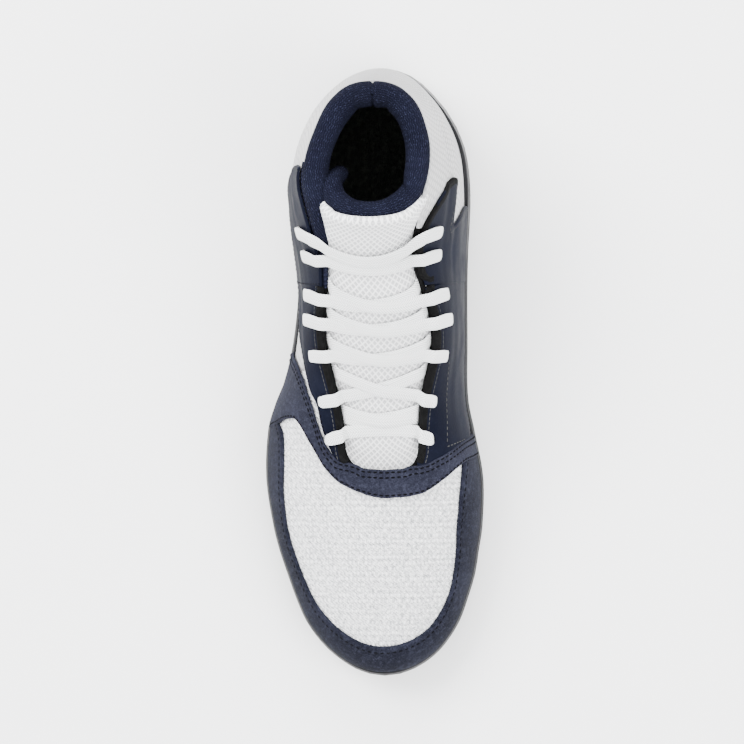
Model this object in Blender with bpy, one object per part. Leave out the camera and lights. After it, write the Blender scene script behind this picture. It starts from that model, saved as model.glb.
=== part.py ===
# Right wrestling shoe: low cup sole, knit shell, suede toe guard, lace-up instep.
# Toe at -Y, heel at +Y, inner (medial) side at +X, +Z up. Metres.
import math
from collections import namedtuple

import bmesh
import bpy
from mathutils import Matrix, Vector

# Driving dimensions of the shoe
LENGTH = 0.290            # heel to toe
BALL_WIDTH = 0.1034       # across the ball of the foot
INSTEP_HEIGHT = 0.060     # top of the vamp where the throat begins
HEEL_HEIGHT = 0.1325      # collar at the back of the heel

# Walls, layers and clearances
KNIT_WALL = 0.0024        # shell of the upper
OVERLAY = 0.0013          # suede and leather laid on the shell
SEAM_GAP = 0.0004         # between neighbouring pieces
BAND_CLEAR = 1.6 * SEAM_GAP   # from the side wall's top up to the overlays
SADDLE_GAP = 0.0007       # between the shell and the saddle
FLAP_GAP = 0.0010         # under the loose flaps at the ankle
LINING_PAD = 0.0065       # padded collar lining
TONGUE_PAD = 0.0050       # padded tongue
INSOLE_THICK = 0.0030
LACE_WIDTH = 0.0065
LACE_THICK = 0.0013
EYELET_BORE = 0.0045

# Outsole
SOLE_FLOOR = 0.0065       # ground to the inside of the cup
CUP_WALL = 0.0022
CUP_HEIGHT = 0.0125       # side wall at the forefoot
HEEL_BAND_HEIGHT = 0.026  # side wall at the heel
RIB_OUT = 0.0005          # raised foxing line round the side wall
TOE_SPRING = 0.0095
TOE_SPRING_RUN = 0.060
HEEL_BEVEL = 0.0030
HEEL_BEVEL_RUN = 0.018
ARCH_RISE = 0.0040
EDGE_BEVEL = 0.0018
GROOVE_WIDTH = 0.0030
GROOVE_DEPTH = 0.0016
GROOVE_PITCH = 0.0125

# Lower edge of the last
TUCK = 0.0030             # how far the shell draws in under its widest line
SHELL_INSET = 0.8 * CUP_WALL + SEAM_GAP   # outline of the shoe to the shell
WIDEST_HEIGHT = 0.0150

# Mesh counts
RIBS_A_SIDE = 30
TUCK_ROWS = 2
WALL_ROWS = 11
WIDEST_SHARE = 0.12       # share of a rib that lies below the widest line
TUCK_ANGLE = math.radians(62)
SHARP_ANGLE = math.radians(35)   # edges above this stay crisp
TURN_WEIGHT = 3           # a turn round the shoe against a full rise, for even walks

# Small steps that slopes are read over, as shares of a turn or of a rise
OUTLINE_STEP = 0.004
SKIN_STEP = 0.01
EDGE_STEP = 0.03          # below the head of a rib, to carry it on past 1
HEIGHT_TRIES = 24         # halvings when a height is looked for

# Outline of the shoe from above: share of the length from the toe, then the middle
# line and the half width as shares of the ball width
Section = namedtuple("Section", "along centre half")
OUTLINE = [
    Section(0.000, 0.051, 0.000),
    Section(0.005, 0.051, 0.092),
    Section(0.025, 0.051, 0.201),
    Section(0.045, 0.047, 0.266),
    Section(0.085, 0.040, 0.348),
    Section(0.125, 0.035, 0.395),
    Section(0.165, 0.031, 0.432),
    Section(0.205, 0.021, 0.460),
    Section(0.245, 0.015, 0.482),
    Section(0.325, 0.000, 0.500),
    Section(0.405, -0.016, 0.474),
    Section(0.445, -0.012, 0.446),
    Section(0.485, 0.006, 0.420),
    Section(0.545, 0.026, 0.401),
    Section(0.625, 0.038, 0.388),
    Section(0.700, 0.039, 0.391),
    Section(0.785, 0.044, 0.397),
    Section(0.845, 0.048, 0.382),
    Section(0.885, 0.048, 0.353),
    Section(0.925, 0.048, 0.295),
    Section(0.960, 0.048, 0.215),
    Section(0.985, 0.048, 0.135),
    Section(1.000, 0.048, 0.000),
]

# Throat and collar line. Each row is the head of the rib that starts at 'along' on
# the outline: its distance off the centre plane on the inner and the outer side in
# ball widths, its place along the length, and its rise from instep to heel height
Head = namedtuple("Head", "along inner outer back rise")
HEADS = [
    Head(0.000, 0.058, 0.058, 0.338, 0.000),
    Head(0.085, 0.126, -0.010, 0.340, 0.002),
    Head(0.207, 0.184, -0.077, 0.347, 0.014),
    Head(0.286, 0.213, -0.111, 0.364, 0.040),
    Head(0.325, 0.218, -0.121, 0.383, 0.070),
    Head(0.386, 0.221, -0.126, 0.414, 0.117),
    Head(0.440, 0.232, -0.145, 0.455, 0.186),
    Head(0.486, 0.256, -0.169, 0.493, 0.262),
    Head(0.545, 0.285, -0.198, 0.541, 0.366),
    Head(0.607, 0.280, -0.205, 0.590, 0.469),
    Head(0.660, 0.242, -0.197, 0.638, 0.586),
    Head(0.700, 0.214, -0.200, 0.676, 0.690),
    Head(0.740, 0.222, -0.228, 0.710, 0.800),
    Head(0.785, 0.247, -0.266, 0.759, 0.876),
    Head(0.817, 0.270, -0.288, 0.797, 0.900),
    Head(0.852, 0.285, -0.277, 0.834, 0.914),
    Head(0.885, 0.279, -0.247, 0.869, 0.932),
    Head(0.924, 0.237, -0.189, 0.914, 0.959),
    Head(0.960, 0.174, -0.121, 0.941, 0.979),
    Head(0.985, 0.111, -0.058, 0.953, 0.993),
    Head(1.000, 0.029, 0.029, 0.957, 1.000),
]

# How a rib climbs: 0 a quarter ellipse, 1 a straight wall; waist draws it in high up, or
# keeps it out where below zero; inner and outer swell each side, in ball widths
Climb = namedtuple("Climb", "along straight waist inner outer")
CLIMBS = [
    Climb(0.000, 0.18, 0.00, 0.000, 0.000),
    Climb(0.150, 0.25, 0.00, 0.000, 0.000),
    Climb(0.325, 0.25, 0.00, 0.000, 0.000),
    Climb(0.440, 0.18, 0.00, 0.000, 0.000),
    Climb(0.545, 0.12, 0.00, 0.010, 0.010),
    Climb(0.660, 0.35, -0.20, 0.010, 0.019),
    Climb(0.785, 0.90, -0.60, 0.003, 0.039),
    Climb(0.885, 1.00, -0.55, 0.010, 0.037),
    Climb(0.960, 1.00, -0.40, 0.021, 0.031),
    Climb(1.000, 1.00, -0.30, 0.029, 0.029),
]

# Top of the outsole's side wall: 0 the forefoot height, 1 the heel band's height
Band = namedtuple("Band", "along rise")
BANDS = [
    Band(0.000, 0.35),
    Band(0.080, 0.12),
    Band(0.250, 0.00),
    Band(0.500, 0.05),
    Band(0.660, 0.20),
    Band(0.780, 0.90),
    Band(0.880, 1.00),
    Band(1.000, 0.80),
]


def around(along):
    """Even spacing round the shoe for a signed share of the length."""
    share = min(max(abs(along), 0.0), 1.0)
    return math.copysign(math.acos(1 - 2 * share) / math.pi, along)


def along_of(turn):
    """Signed share of the length for a signed place round the shoe."""
    return math.copysign((1 - math.cos(math.pi * abs(turn))) / 2, turn)


def smooth(table, along, column):
    """Read one column of a table on a smooth curve through its rows."""
    place = around(abs(along))
    keys = [around(row.along) for row in table]
    values = [getattr(row, column) for row in table]
    last = len(keys) - 1
    index = 0
    while index < last - 1 and place > keys[index + 1]:
        index += 1

    def slope(at):
        low = max(at - 1, 0)
        high = min(at + 1, last)
        return (values[high] - values[low]) / (keys[high] - keys[low])

    span = keys[index + 1] - keys[index]
    t = (place - keys[index]) / span
    start = (2 * t**3 - 3 * t**2 + 1) * values[index]
    start += (t**3 - 2 * t**2 + t) * span * slope(index)
    end = (3 * t**2 - 2 * t**3) * values[index + 1]
    end += (t**3 - t**2) * span * slope(index + 1)
    return start + end


def outline_point(along):
    """Point of the shoe's outline from above; the sign picks the side."""
    share = abs(along)
    side = math.copysign(1.0, along)
    centre = smooth(OUTLINE, share, "centre") * BALL_WIDTH
    half = max(smooth(OUTLINE, share, "half"), 0.0) * BALL_WIDTH
    return Vector((centre + side * half, (share - 0.5) * LENGTH, 0.0))


def outline_normal(along):
    """Outward direction of the outline in plan."""
    turn = around(along)
    before = outline_at(turn - OUTLINE_STEP)
    after = outline_at(turn + OUTLINE_STEP)
    ahead = after - before
    return Vector((ahead.y, -ahead.x, 0.0)).normalized()


def outline_at(turn):
    """Outline point for a place round the shoe that may pass toe or heel."""
    if turn > 1:
        turn -= 2
    if turn < -1:
        turn += 2
    return outline_point(along_of(turn))


def toe_lift(along):
    """Height that the toe spring adds to the ground line."""
    place = abs(along) * LENGTH
    lift = 0.0
    if place < TOE_SPRING_RUN:
        lift = TOE_SPRING * (1 - place / TOE_SPRING_RUN) ** 2
    return lift


def shell(along, rise):
    """Outer face of the upper. Rise runs from the sole, 0, to the throat or collar, 1."""
    if rise > 1:
        edge = shell(along, 1.0)
        return edge + (edge - shell(along, 1 - EDGE_STEP)) * ((rise - 1) / EDGE_STEP)
    foot = outline_point(along)
    outward = outline_normal(along)
    foot -= outward * SHELL_INSET
    lift = toe_lift(along)
    widest = WIDEST_HEIGHT + lift
    feather = SOLE_FLOOR + SEAM_GAP + lift
    if rise < WIDEST_SHARE:
        turn = TUCK_ANGLE * (1 - rise / WIDEST_SHARE)
        inward = TUCK * (1 - math.cos(turn)) / (1 - math.cos(TUCK_ANGLE))
        height = widest - (widest - feather) * math.sin(turn) / math.sin(TUCK_ANGLE)
        point = foot - outward * inward
        return Vector((point.x, point.y, height))
    part = (rise - WIDEST_SHARE) / (1 - WIDEST_SHARE)
    turn = part * math.pi / 2
    share = abs(along)
    column = "inner" if along >= 0 else "outer"
    head = Vector((
        smooth(HEADS, share, column) * BALL_WIDTH,
        (smooth(HEADS, share, "back") - 0.5) * LENGTH,
        INSTEP_HEIGHT + smooth(HEADS, share, "rise") * (HEEL_HEIGHT - INSTEP_HEIGHT),
    ))
    straight = smooth(CLIMBS, share, "straight")
    waist = smooth(CLIMBS, share, "waist")
    inward = (1 - straight) * (1 - math.cos(turn))
    inward += straight * (3 * part**2 - 2 * part**3)
    inward += waist * math.sin(math.pi * part) * part
    climb = (1 - straight) * math.sin(turn) + straight * part
    swell = smooth(CLIMBS, share, column) * BALL_WIDTH * math.sin(math.pi * part)
    return Vector((
        foot.x + (head.x - foot.x) * inward + outward.x * swell,
        foot.y + (head.y - foot.y) * inward + outward.y * swell,
        widest + (head.z - widest) * climb,
    ))


def shell_at(turn, rise):
    """Shell point for a place round the shoe that may pass toe or heel."""
    if turn > 1:
        turn -= 2
    if turn < -1:
        turn += 2
    return shell(along_of(turn), rise)


def skin(along, rise, out=0.0):
    """Point a given distance outside the shell (or inside, below zero)."""
    point = shell(along, rise)
    if not out:
        return point
    turn = around(along)
    ahead = shell_at(turn + SKIN_STEP, rise) - shell_at(turn - SKIN_STEP, rise)
    low = max(rise - SKIN_STEP, 0.0)
    upward = shell(along, low + 2 * SKIN_STEP) - shell(along, low)
    return point + ahead.cross(upward).normalized() * out


def side_wall_top(along):
    """Height of the outsole's side wall above the ground line."""
    share = smooth(BANDS, along, "rise")
    return CUP_HEIGHT + (HEEL_BAND_HEIGHT - CUP_HEIGHT) * share + toe_lift(along)


def rise_at_height(along, height):
    """Rise at which the shell reaches a height."""
    low, high = 0.0, 1.0
    for _ in range(HEIGHT_TRIES):
        middle = (low + high) / 2
        if shell(along, middle).z < height:
            low = middle
        else:
            high = middle
    return (low + high) / 2


def above_band(along):
    """Rise just above the outsole's side wall, where overlays start."""
    return rise_at_height(along, side_wall_top(along) + BAND_CLEAR)


def stations(start, end, count):
    """Signed shares of the length, evenly spaced round the shoe."""
    first, last = around(start), around(end)
    return [along_of(first + (last - first) * i / count) for i in range(count + 1)]


# Whole ring of ribs: outer side from heel to toe, then inner side back to the heel
RING = [along_of(-1 + i / RIBS_A_SIDE) for i in range(2 * RIBS_A_SIDE)]


def material(name, colour, roughness):
    made = bpy.data.materials.new(name)
    made.use_nodes = True
    shader = made.node_tree.nodes["Principled BSDF"]
    shader.inputs["Base Color"].default_value = (*colour, 1.0)
    shader.inputs["Roughness"].default_value = roughness
    shader.inputs["Metallic"].default_value = 0.0
    return made


def add_solid(name, points, faces, finish):
    """Make an object from points and faces, with its faces turned outward."""
    mesh = bpy.data.meshes.new(name)
    mesh.from_pydata([tuple(p) for p in points], [], faces)
    mesh.materials.append(finish)
    body = bmesh.new()
    body.from_mesh(mesh)
    bmesh.ops.triangulate(body, faces=body.faces[:])
    bmesh.ops.recalc_face_normals(body, faces=body.faces[:])
    if body.calc_volume(signed=True) < 0:
        bmesh.ops.reverse_faces(body, faces=body.faces[:])
    body.to_mesh(mesh)
    body.free()
    mesh.shade_smooth()
    mesh.set_sharp_from_angle(angle=SHARP_ANGLE)
    solid = bpy.data.objects.new(name, mesh)
    bpy.context.scene.collection.objects.link(solid)
    return solid


def ring_faces(loops, count):
    """Quads between neighbouring closed loops of the same count."""
    faces = []
    for loop in range(loops - 1):
        for i in range(count):
            j = (i + 1) % count
            faces.append((loop * count + i, loop * count + j,
                          (loop + 1) * count + j, (loop + 1) * count + i))
    return faces


def sheet_solid(name, outer, inner, finish):
    """Solid between two grids of points that face each other."""
    rows = len(outer)
    columns = len(outer[0])
    points = [p for row in outer for p in row] + [p for row in inner for p in row]
    under = rows * columns
    faces = []
    for r in range(rows - 1):
        for c in range(columns - 1):
            a = r * columns + c
            faces.append((a, a + 1, a + columns + 1, a + columns))
            faces.append((under + a, under + a + columns, under + a + columns + 1, under + a + 1))
    rim = list(range(columns))
    rim += [r * columns + columns - 1 for r in range(1, rows)]
    rim += [(rows - 1) * columns + c for c in range(columns - 2, -1, -1)]
    rim += [r * columns for r in range(rows - 2, 0, -1)]
    for i, a in enumerate(rim):
        b = rim[(i + 1) % len(rim)]
        faces.append((b, a, under + a, under + b))
    return add_solid(name, points, faces, finish)


def edge_reader(corners):
    """Even walk along a line of (along, rise) corners."""
    turns = [around(along) for along, _ in corners]
    rises = [rise for _, rise in corners]
    lengths = [0.0]
    for i in range(1, len(corners)):
        step = math.hypot((turns[i] - turns[i - 1]) * TURN_WEIGHT, rises[i] - rises[i - 1])
        lengths.append(lengths[-1] + step)

    def read(share):
        want = share * lengths[-1]
        i = 1
        while i < len(lengths) - 1 and want > lengths[i]:
            i += 1
        t = (want - lengths[i - 1]) / (lengths[i] - lengths[i - 1])
        turn = turns[i - 1] + (turns[i] - turns[i - 1]) * t
        return along_of(turn), rises[i - 1] + (rises[i] - rises[i - 1]) * t

    return read


def panel(name, first_edge, second_edge, counts, finish, lower=SEAM_GAP, thick=OVERLAY):
    """Overlay on the shell between two edges, cut between two offsets of its face."""
    across, along_count = counts
    outer, inner = [], []
    first, second = edge_reader(first_edge), edge_reader(second_edge)
    for r in range(along_count + 1):
        a = first(r / along_count)
        b = second(r / along_count)
        outer_row, inner_row = [], []
        for c in range(across + 1):
            t = c / across
            turn = around(a[0]) + (around(b[0]) - around(a[0])) * t
            place = along_of(turn)
            rise = a[1] + (b[1] - a[1]) * t
            rise = max(rise, above_band(place))
            outer_row.append(skin(place, rise, lower + thick))
            inner_row.append(skin(place, rise, lower))
        outer.append(outer_row)
        inner.append(inner_row)
    return sheet_solid(name, outer, inner, finish)


def clear_scene():
    for thing in list(bpy.data.objects):
        bpy.data.objects.remove(thing, do_unlink=True)


def closed_faces(loops, count):
    """Faces of a tube whose last loop joins its first."""
    faces = ring_faces(loops, count)
    last = (loops - 1) * count
    for i in range(count):
        j = (i + 1) % count
        faces.append((last + i, last + j, j, i))
    return faces


def cap_faces(start, count):
    """Strips across a ring that begins at the heel and turns at the toe."""
    faces = []
    half = count // 2
    for i in range(half):
        quad = [i, i + 1, count - i - 1, (count - i) % count]
        faces.append([start + k for k in dict.fromkeys(quad)])
    return faces


def build_upper(finish):
    rises = [WIDEST_SHARE * i / TUCK_ROWS for i in range(TUCK_ROWS)]
    rises += [WIDEST_SHARE + (1 - WIDEST_SHARE) * i / WALL_ROWS for i in range(WALL_ROWS + 1)]
    loops = [[skin(a, rise) for a in RING] for rise in rises]
    loops += [[skin(a, rise, -KNIT_WALL) for a in RING] for rise in reversed(rises)]
    points = [p for loop in loops for p in loop]
    return add_solid("upper", points, closed_faces(len(loops), len(RING)), finish)


# Outsole: the arch lies between these shares of the length
ARCH_START = 0.44
ARCH_END = 0.69


def ground(along):
    """Height of the tread: toe spring, arch and heel bevel."""
    share = abs(along)
    height = toe_lift(along)
    if ARCH_START < share < ARCH_END:
        height += ARCH_RISE * math.sin(math.pi * (share - ARCH_START) / (ARCH_END - ARCH_START)) ** 2
    from_heel = (1 - share) * LENGTH
    if from_heel < HEEL_BEVEL_RUN:
        height += HEEL_BEVEL * (1 - from_heel / HEEL_BEVEL_RUN) ** 2
    return height


# Side wall of the outsole: share of the way up the wall, then how far it stands out
# beyond the plain wall
Wall = namedtuple("Wall", "up out")
WALL_STEPS = [
    Wall(0.00, 0.0),
    Wall(0.38, 0.0),
    Wall(0.46, RIB_OUT),
    Wall(0.76, RIB_OUT),
    Wall(0.84, 0.0),
    Wall(1.00, -0.4 * CUP_WALL),
]
INNER_WALL_STEPS = [1.0, 0.66, 0.33]   # shares of the way up, inside the cup


def wall_point(along, up, out):
    """Point of the side wall, 'out' beyond the shell and 'up' its height."""
    top = rise_at_height(along, side_wall_top(along))
    point = shell(along, top * up)
    return point + outline_normal(along) * out


def build_outsole(finish):
    reach = SEAM_GAP + CUP_WALL
    loops = [[], []]
    for a in RING:
        edge = wall_point(a, 0.0, reach)
        inset = outline_normal(a) * EDGE_BEVEL
        loops[0].append(Vector((edge.x - inset.x, edge.y - inset.y, ground(a))))
        loops[1].append(Vector((edge.x, edge.y, ground(a) + EDGE_BEVEL)))
    for step in WALL_STEPS:
        loops.append([wall_point(a, step.up, reach + step.out) for a in RING])
    for up in INNER_WALL_STEPS:
        loops.append([wall_point(a, up, SEAM_GAP) for a in RING])
    floor = []
    for a in RING:
        edge = wall_point(a, 0.0, SEAM_GAP)
        floor.append(Vector((edge.x, edge.y, SOLE_FLOOR + toe_lift(a))))
    loops.append(floor)
    count = len(RING)
    faces = ring_faces(len(loops), count)
    faces += cap_faces(0, count)
    faces += cap_faces((len(loops) - 1) * count, count)
    points = [p for loop in loops for p in loop]
    sole = add_solid("outsole", points, faces, finish)
    cut_grooves(sole)
    return sole


# Tread: grooves across the two flat stretches, from and to these shares of the length
TREAD_STRETCHES = [(0.215, 0.435), (0.700, 0.935)]


def cut_grooves(sole):
    bars = bmesh.new()
    for start, end in TREAD_STRETCHES:
        count = int((end - start) * LENGTH / GROOVE_PITCH)
        for i in range(count):
            y = (start - 0.5) * LENGTH + GROOVE_PITCH * (i + 0.5)
            made = bmesh.ops.create_cube(bars, size=1.0)
            bmesh.ops.scale(bars, vec=(2 * BALL_WIDTH, GROOVE_WIDTH, 2 * GROOVE_DEPTH), verts=made["verts"])
            bmesh.ops.translate(bars, vec=(0.0, y, 0.0), verts=made["verts"])
    mesh = bpy.data.meshes.new("groove_cutter")
    bars.to_mesh(mesh)
    bars.free()
    cutter = bpy.data.objects.new("groove_cutter", mesh)
    bpy.context.scene.collection.objects.link(cutter)
    add_cut(sole, cutter)


def add_cut(target, cutter):
    """Cut a hidden body out of a solid."""
    cutter.hide_render = True
    cutter.display_type = "WIRE"
    cut = target.modifiers.new("cut", "BOOLEAN")
    cut.operation = "DIFFERENCE"
    cut.solver = "EXACT"
    cut.object = cutter


def build_insole(finish):
    inset = KNIT_WALL + SEAM_GAP
    low, high = [], []
    for a in RING:
        edge = shell(a, 0.0) - outline_normal(a) * inset
        base = SOLE_FLOOR + toe_lift(a) + SEAM_GAP
        low.append(Vector((edge.x, edge.y, base)))
        high.append(Vector((edge.x, edge.y, base + INSOLE_THICK)))
    count = len(RING)
    faces = ring_faces(2, count) + cap_faces(0, count) + cap_faces(count, count)
    return add_solid("insole", low + high, faces, finish)


# Tongue: its edges lie under the eyestays at this rise
TONGUE_RISE = 0.90
TONGUE_GAP = 0.0010       # between the shell's inner face and the tongue
TONGUE_COLUMNS = 12
TONGUE_FULLNESS = 0.30    # how far the arch follows the shell, in widths of the gap
TONGUE_LEAN = 0.35        # share of the arch that leans square to the throat
TONGUE_NOSE = [(0.20, 0.900), (0.24, 0.955), (0.275, 1.006)]
TONGUE_ROWS = [0.32, 0.36, 0.41, 0.46, 0.52, 0.58, 0.64, 0.69, 0.735]
Top = namedtuple("Top", "up back width")
TONGUE_TOP = [Top(0.0085, 0.0060, 0.92), Top(0.0165, 0.0130, 0.84)]   # rows above the last
ARCH_AHEAD = 0.02         # stretch of the edges that the tongue's slope is read over
ACROSS_STEP = 0.02        # the same across the tongue


def arch_curve(along):
    """Edges of a tongue row and the four control points of the arch between them."""
    under = -(KNIT_WALL + TONGUE_GAP)
    ahead = shell(along + ARCH_AHEAD, 1.0) - shell(along - ARCH_AHEAD, 1.0)
    lean = Vector((0.0, -ahead.z, ahead.y)).normalized() * TONGUE_LEAN
    sides = []
    for place in (-along, along):
        rises = (TONGUE_RISE, (TONGUE_RISE + 1) / 2, 1.0)
        edge = [skin(place, rise, under) for rise in rises]
        follow = (edge[2] - edge[1]).normalized() * (1 - TONGUE_LEAN)
        sides.append((edge, follow + lean))
    (left, left_way), (right, right_way) = sides
    reach = (right[2] - left[2]).length * TONGUE_FULLNESS
    controls = (left[2], left[2] + left_way * reach, right[2] + right_way * reach, right[2])
    return left, right, controls


def on_arch(controls, t):
    """Point of the tongue's arch, 0 at the outer edge and 1 at the inner edge."""
    a, b, c, d = controls
    return a * (1 - t) ** 3 + b * (3 * t * (1 - t) ** 2) + c * (3 * t * t * (1 - t)) + d * t**3


def tongue_arch(along):
    """Row of the tongue: under both eyestays and crowned between them."""
    left, right, controls = arch_curve(along)
    spans = TONGUE_COLUMNS - 4
    return left[:2] + [on_arch(controls, c / spans) for c in range(spans + 1)] + [right[1], right[0]]


def tongue_grid():
    """Outer face of the tongue, from under the vamp to its top."""
    under = -(KNIT_WALL + TONGUE_GAP)
    grid = []
    for limit, top in TONGUE_NOSE:
        row = []
        for c, place in enumerate(stations(-limit, limit, TONGUE_COLUMNS)):
            middle = 1 - abs(2 * c / TONGUE_COLUMNS - 1) ** 4
            row.append(skin(place, TONGUE_RISE + (top - TONGUE_RISE) * middle, under))
        grid.append(row)
    for along in TONGUE_ROWS:
        grid.append(tongue_arch(along))
    last = grid[-1]
    middle = (last[0].x + last[-1].x) / 2
    for top in TONGUE_TOP:
        row = []
        for p in last:
            row.append(Vector((middle + (p.x - middle) * top.width, p.y + top.back, p.z + top.up)))
        grid.append(row)
    return grid


def offset_grid(grid, out):
    """Grid moved along its own normals."""
    rows, columns = len(grid), len(grid[0])
    moved = []
    for r in range(rows):
        row = []
        for c in range(columns):
            ahead = grid[min(r + 1, rows - 1)][c] - grid[max(r - 1, 0)][c]
            beside = grid[r][min(c + 1, columns - 1)] - grid[r][max(c - 1, 0)]
            row.append(grid[r][c] + beside.cross(ahead).normalized() * out)
        moved.append(row)
    return moved


def build_tongue(finish):
    outer = tongue_grid()
    return sheet_solid("tongue", outer, offset_grid(outer, -TONGUE_PAD), finish)


# Collar lining: depth of its inner face behind the shell, as a share of the pad, at
# each row of the upper that it covers, then the roll over the rim
COLLAR_START = 0.79
COLLAR_DEPTHS = [0.35, 0.75, 0.95, 1.0, 1.0]
COLLAR_ROLL = [(0.0, 0.10), (2.6, 0.0), (5.0, 1.0), (5.6, 2.4), (4.2, 3.6)]
COLLAR_END_FULLNESS = 0.4   # pad left at the two front ends
COLLAR_END_RIBS = 3       # ribs over which it grows to the full pad
RISE_A_MM = 0.009         # rise that climbs one millimetre at the collar


def collar_profile():
    """Closed profile as rise up the rib and depth behind the shell's outer face."""
    behind = KNIT_WALL + SEAM_GAP
    step = (1 - WIDEST_SHARE) / WALL_ROWS
    rises = [1 - step * i for i in range(len(COLLAR_DEPTHS) - 1, -1, -1)]
    rises[-1] += 1000 * SEAM_GAP * RISE_A_MM
    profile = [(rise, behind) for rise in rises]
    for up, walls in COLLAR_ROLL:
        profile.append((rises[-1] + up * RISE_A_MM, walls * KNIT_WALL))
    for rise, depth in zip(reversed(rises), reversed(COLLAR_DEPTHS)):
        profile.append((rise, behind + depth * LINING_PAD))
    return profile


def build_collar(finish):
    profile = collar_profile()
    behind = KNIT_WALL + SEAM_GAP
    places = [a for a in RING if a >= COLLAR_START] + [a for a in RING if a <= -COLLAR_START]
    points = []
    for i, place in enumerate(places):
        from_end = min(i, len(places) - 1 - i)
        fullness = min(1.0, COLLAR_END_FULLNESS + from_end * (1 - COLLAR_END_FULLNESS) / COLLAR_END_RIBS)
        for rise, depth in profile:
            if depth > behind:
                depth = behind + (depth - behind) * fullness
            points.append(skin(place, rise, -depth))
    count = len(profile)
    faces = ring_faces(len(places), count)
    faces.append(tuple(range(count)))
    faces.append(tuple(range((len(places) - 1) * count, len(places) * count)))
    return add_solid("collar_lining", points, faces, finish)


# Edges of the overlays: place along the outline (outer side below zero) and rise
TOE_GUARD_TOP = [
    (-0.425, 0.30), (-0.389, 0.445), (-0.343, 0.458), (-0.278, 0.405), (-0.217, 0.368),
    (-0.161, 0.358), (-0.103, 0.365), (0.000, 0.383), (0.078, 0.388), (0.118, 0.408),
    (0.164, 0.465), (0.233, 0.522), (0.296, 0.525), (0.343, 0.482), (0.368, 0.30),
]
SADDLE_FRONT = [
    (-0.447, 0.08), (-0.437, 0.50), (-0.408, 0.63), (-0.360, 0.725), (-0.300, 0.80),
    (-0.220, 0.87), (-0.130, 0.915), (-0.060, 0.925), (0.000, 0.926), (0.070, 0.912),
    (0.150, 0.885), (0.227, 0.840), (0.292, 0.722), (0.343, 0.482), (0.376, 0.28), (0.384, 0.08),
]
SADDLE_BACK_OUTER = [
    (-0.560, 0.08), (-0.552, 0.45), (-0.520, 0.66), (-0.463, 0.715), (-0.400, 0.745),
    (-0.350, 0.79), (-0.290, 0.90), (-0.250, 0.980), (-0.120, 0.985), (0.000, 0.985),
]
SADDLE_BACK_INNER = [
    (0.120, 0.985), (0.250, 0.980), (0.285, 0.90), (0.325, 0.79), (0.365, 0.72),
    (0.420, 0.695), (0.480, 0.67), (0.525, 0.58), (0.545, 0.40), (0.550, 0.08),
]
EYESTAY_EDGE = [(0.300, 0.985), (0.655, 0.985)]
EYESTAY_OUTSIDE = {
    "medial": [
        (0.305, 0.93), (0.337, 0.82), (0.372, 0.755), (0.430, 0.732), (0.495, 0.705),
        (0.545, 0.60), (0.570, 0.47), (0.662, 0.42),
    ],
    "lateral": [
        (-0.305, 0.93), (-0.345, 0.835), (-0.400, 0.79), (-0.463, 0.762), (-0.520, 0.71),
        (-0.560, 0.60), (-0.585, 0.49), (-0.662, 0.42),
    ],
}
FLAP_FRONT = [(0.668, 0.985), (0.670, 0.80), (0.672, 0.60), (0.674, 0.42)]
FLAP_BACK = [
    (0.750, 0.985), (0.770, 0.93), (0.795, 0.84), (0.815, 0.74), (0.812, 0.66),
    (0.780, 0.62), (0.755, 0.55), (0.755, 0.42),
]

# Eyelet rows from the throat's base up: place along, and rise on the eyestay
Eyelet = namedtuple("Eyelet", "along rise")
EYELETS = [
    Eyelet(0.360, 0.865),
    Eyelet(0.445, 0.840),
    Eyelet(0.530, 0.800),
    Eyelet(0.595, 0.745),
    Eyelet(0.638, 0.760),
    Eyelet(0.705, 0.810),
    Eyelet(0.745, 0.830),
]
EYELET_SIDES = 8
EYELET_CUT_UNDER = -3 * KNIT_WALL   # reach of each cutter below and above the shell
EYELET_CUT_OVER = 3 * OVERLAY


def mirrored(edge):
    """The same edge on the outer side."""
    return [(-along, rise) for along, rise in edge]


def build_overlays(suede, leather):
    ends = (TOE_GUARD_TOP[0][0], TOE_GUARD_TOP[-1][0])
    panel("toe_guard", [(ends[0], 0.0), (ends[1], 0.0)], TOE_GUARD_TOP, (4, 38), suede)
    saddle_back = SADDLE_BACK_OUTER + SADDLE_BACK_INNER
    panel("vamp_saddle", SADDLE_FRONT, saddle_back, (7, 44), suede, SADDLE_GAP)
    stays = []
    for side, turned in (("medial", list), ("lateral", mirrored)):
        stay = panel("eyestay_" + side, EYESTAY_OUTSIDE[side], turned(EYESTAY_EDGE), (8, 18), leather)
        flap = panel("flap_" + side, turned(FLAP_FRONT), turned(FLAP_BACK), (8, 12), leather, FLAP_GAP)
        stays += [stay, flap]
    return stays


def punch_eyelets(targets):
    """Cut the eyelet rows through the shell and what lies on it."""
    pins = bmesh.new()
    for eyelet in EYELETS:
        for place in (-eyelet.along, eyelet.along):
            low = skin(place, eyelet.rise, EYELET_CUT_UNDER)
            high = skin(place, eyelet.rise, EYELET_CUT_OVER)
            way = high - low
            pose = way.to_track_quat("Z", "Y").to_matrix().to_4x4()
            made = bmesh.ops.create_cone(
                pins, cap_ends=True, segments=EYELET_SIDES, radius1=EYELET_BORE / 2,
                radius2=EYELET_BORE / 2, depth=way.length,
                matrix=Matrix.Translation((low + high) / 2) @ pose)
            sides = {face for corner in made["verts"] for face in corner.link_faces}
            bmesh.ops.recalc_face_normals(pins, faces=list(sides))
    mesh = bpy.data.meshes.new("eyelet_cutter")
    pins.to_mesh(mesh)
    pins.free()
    cutter = bpy.data.objects.new("eyelet_cutter", mesh)
    bpy.context.scene.collection.objects.link(cutter)
    for target in targets:
        add_cut(target, cutter)


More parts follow.
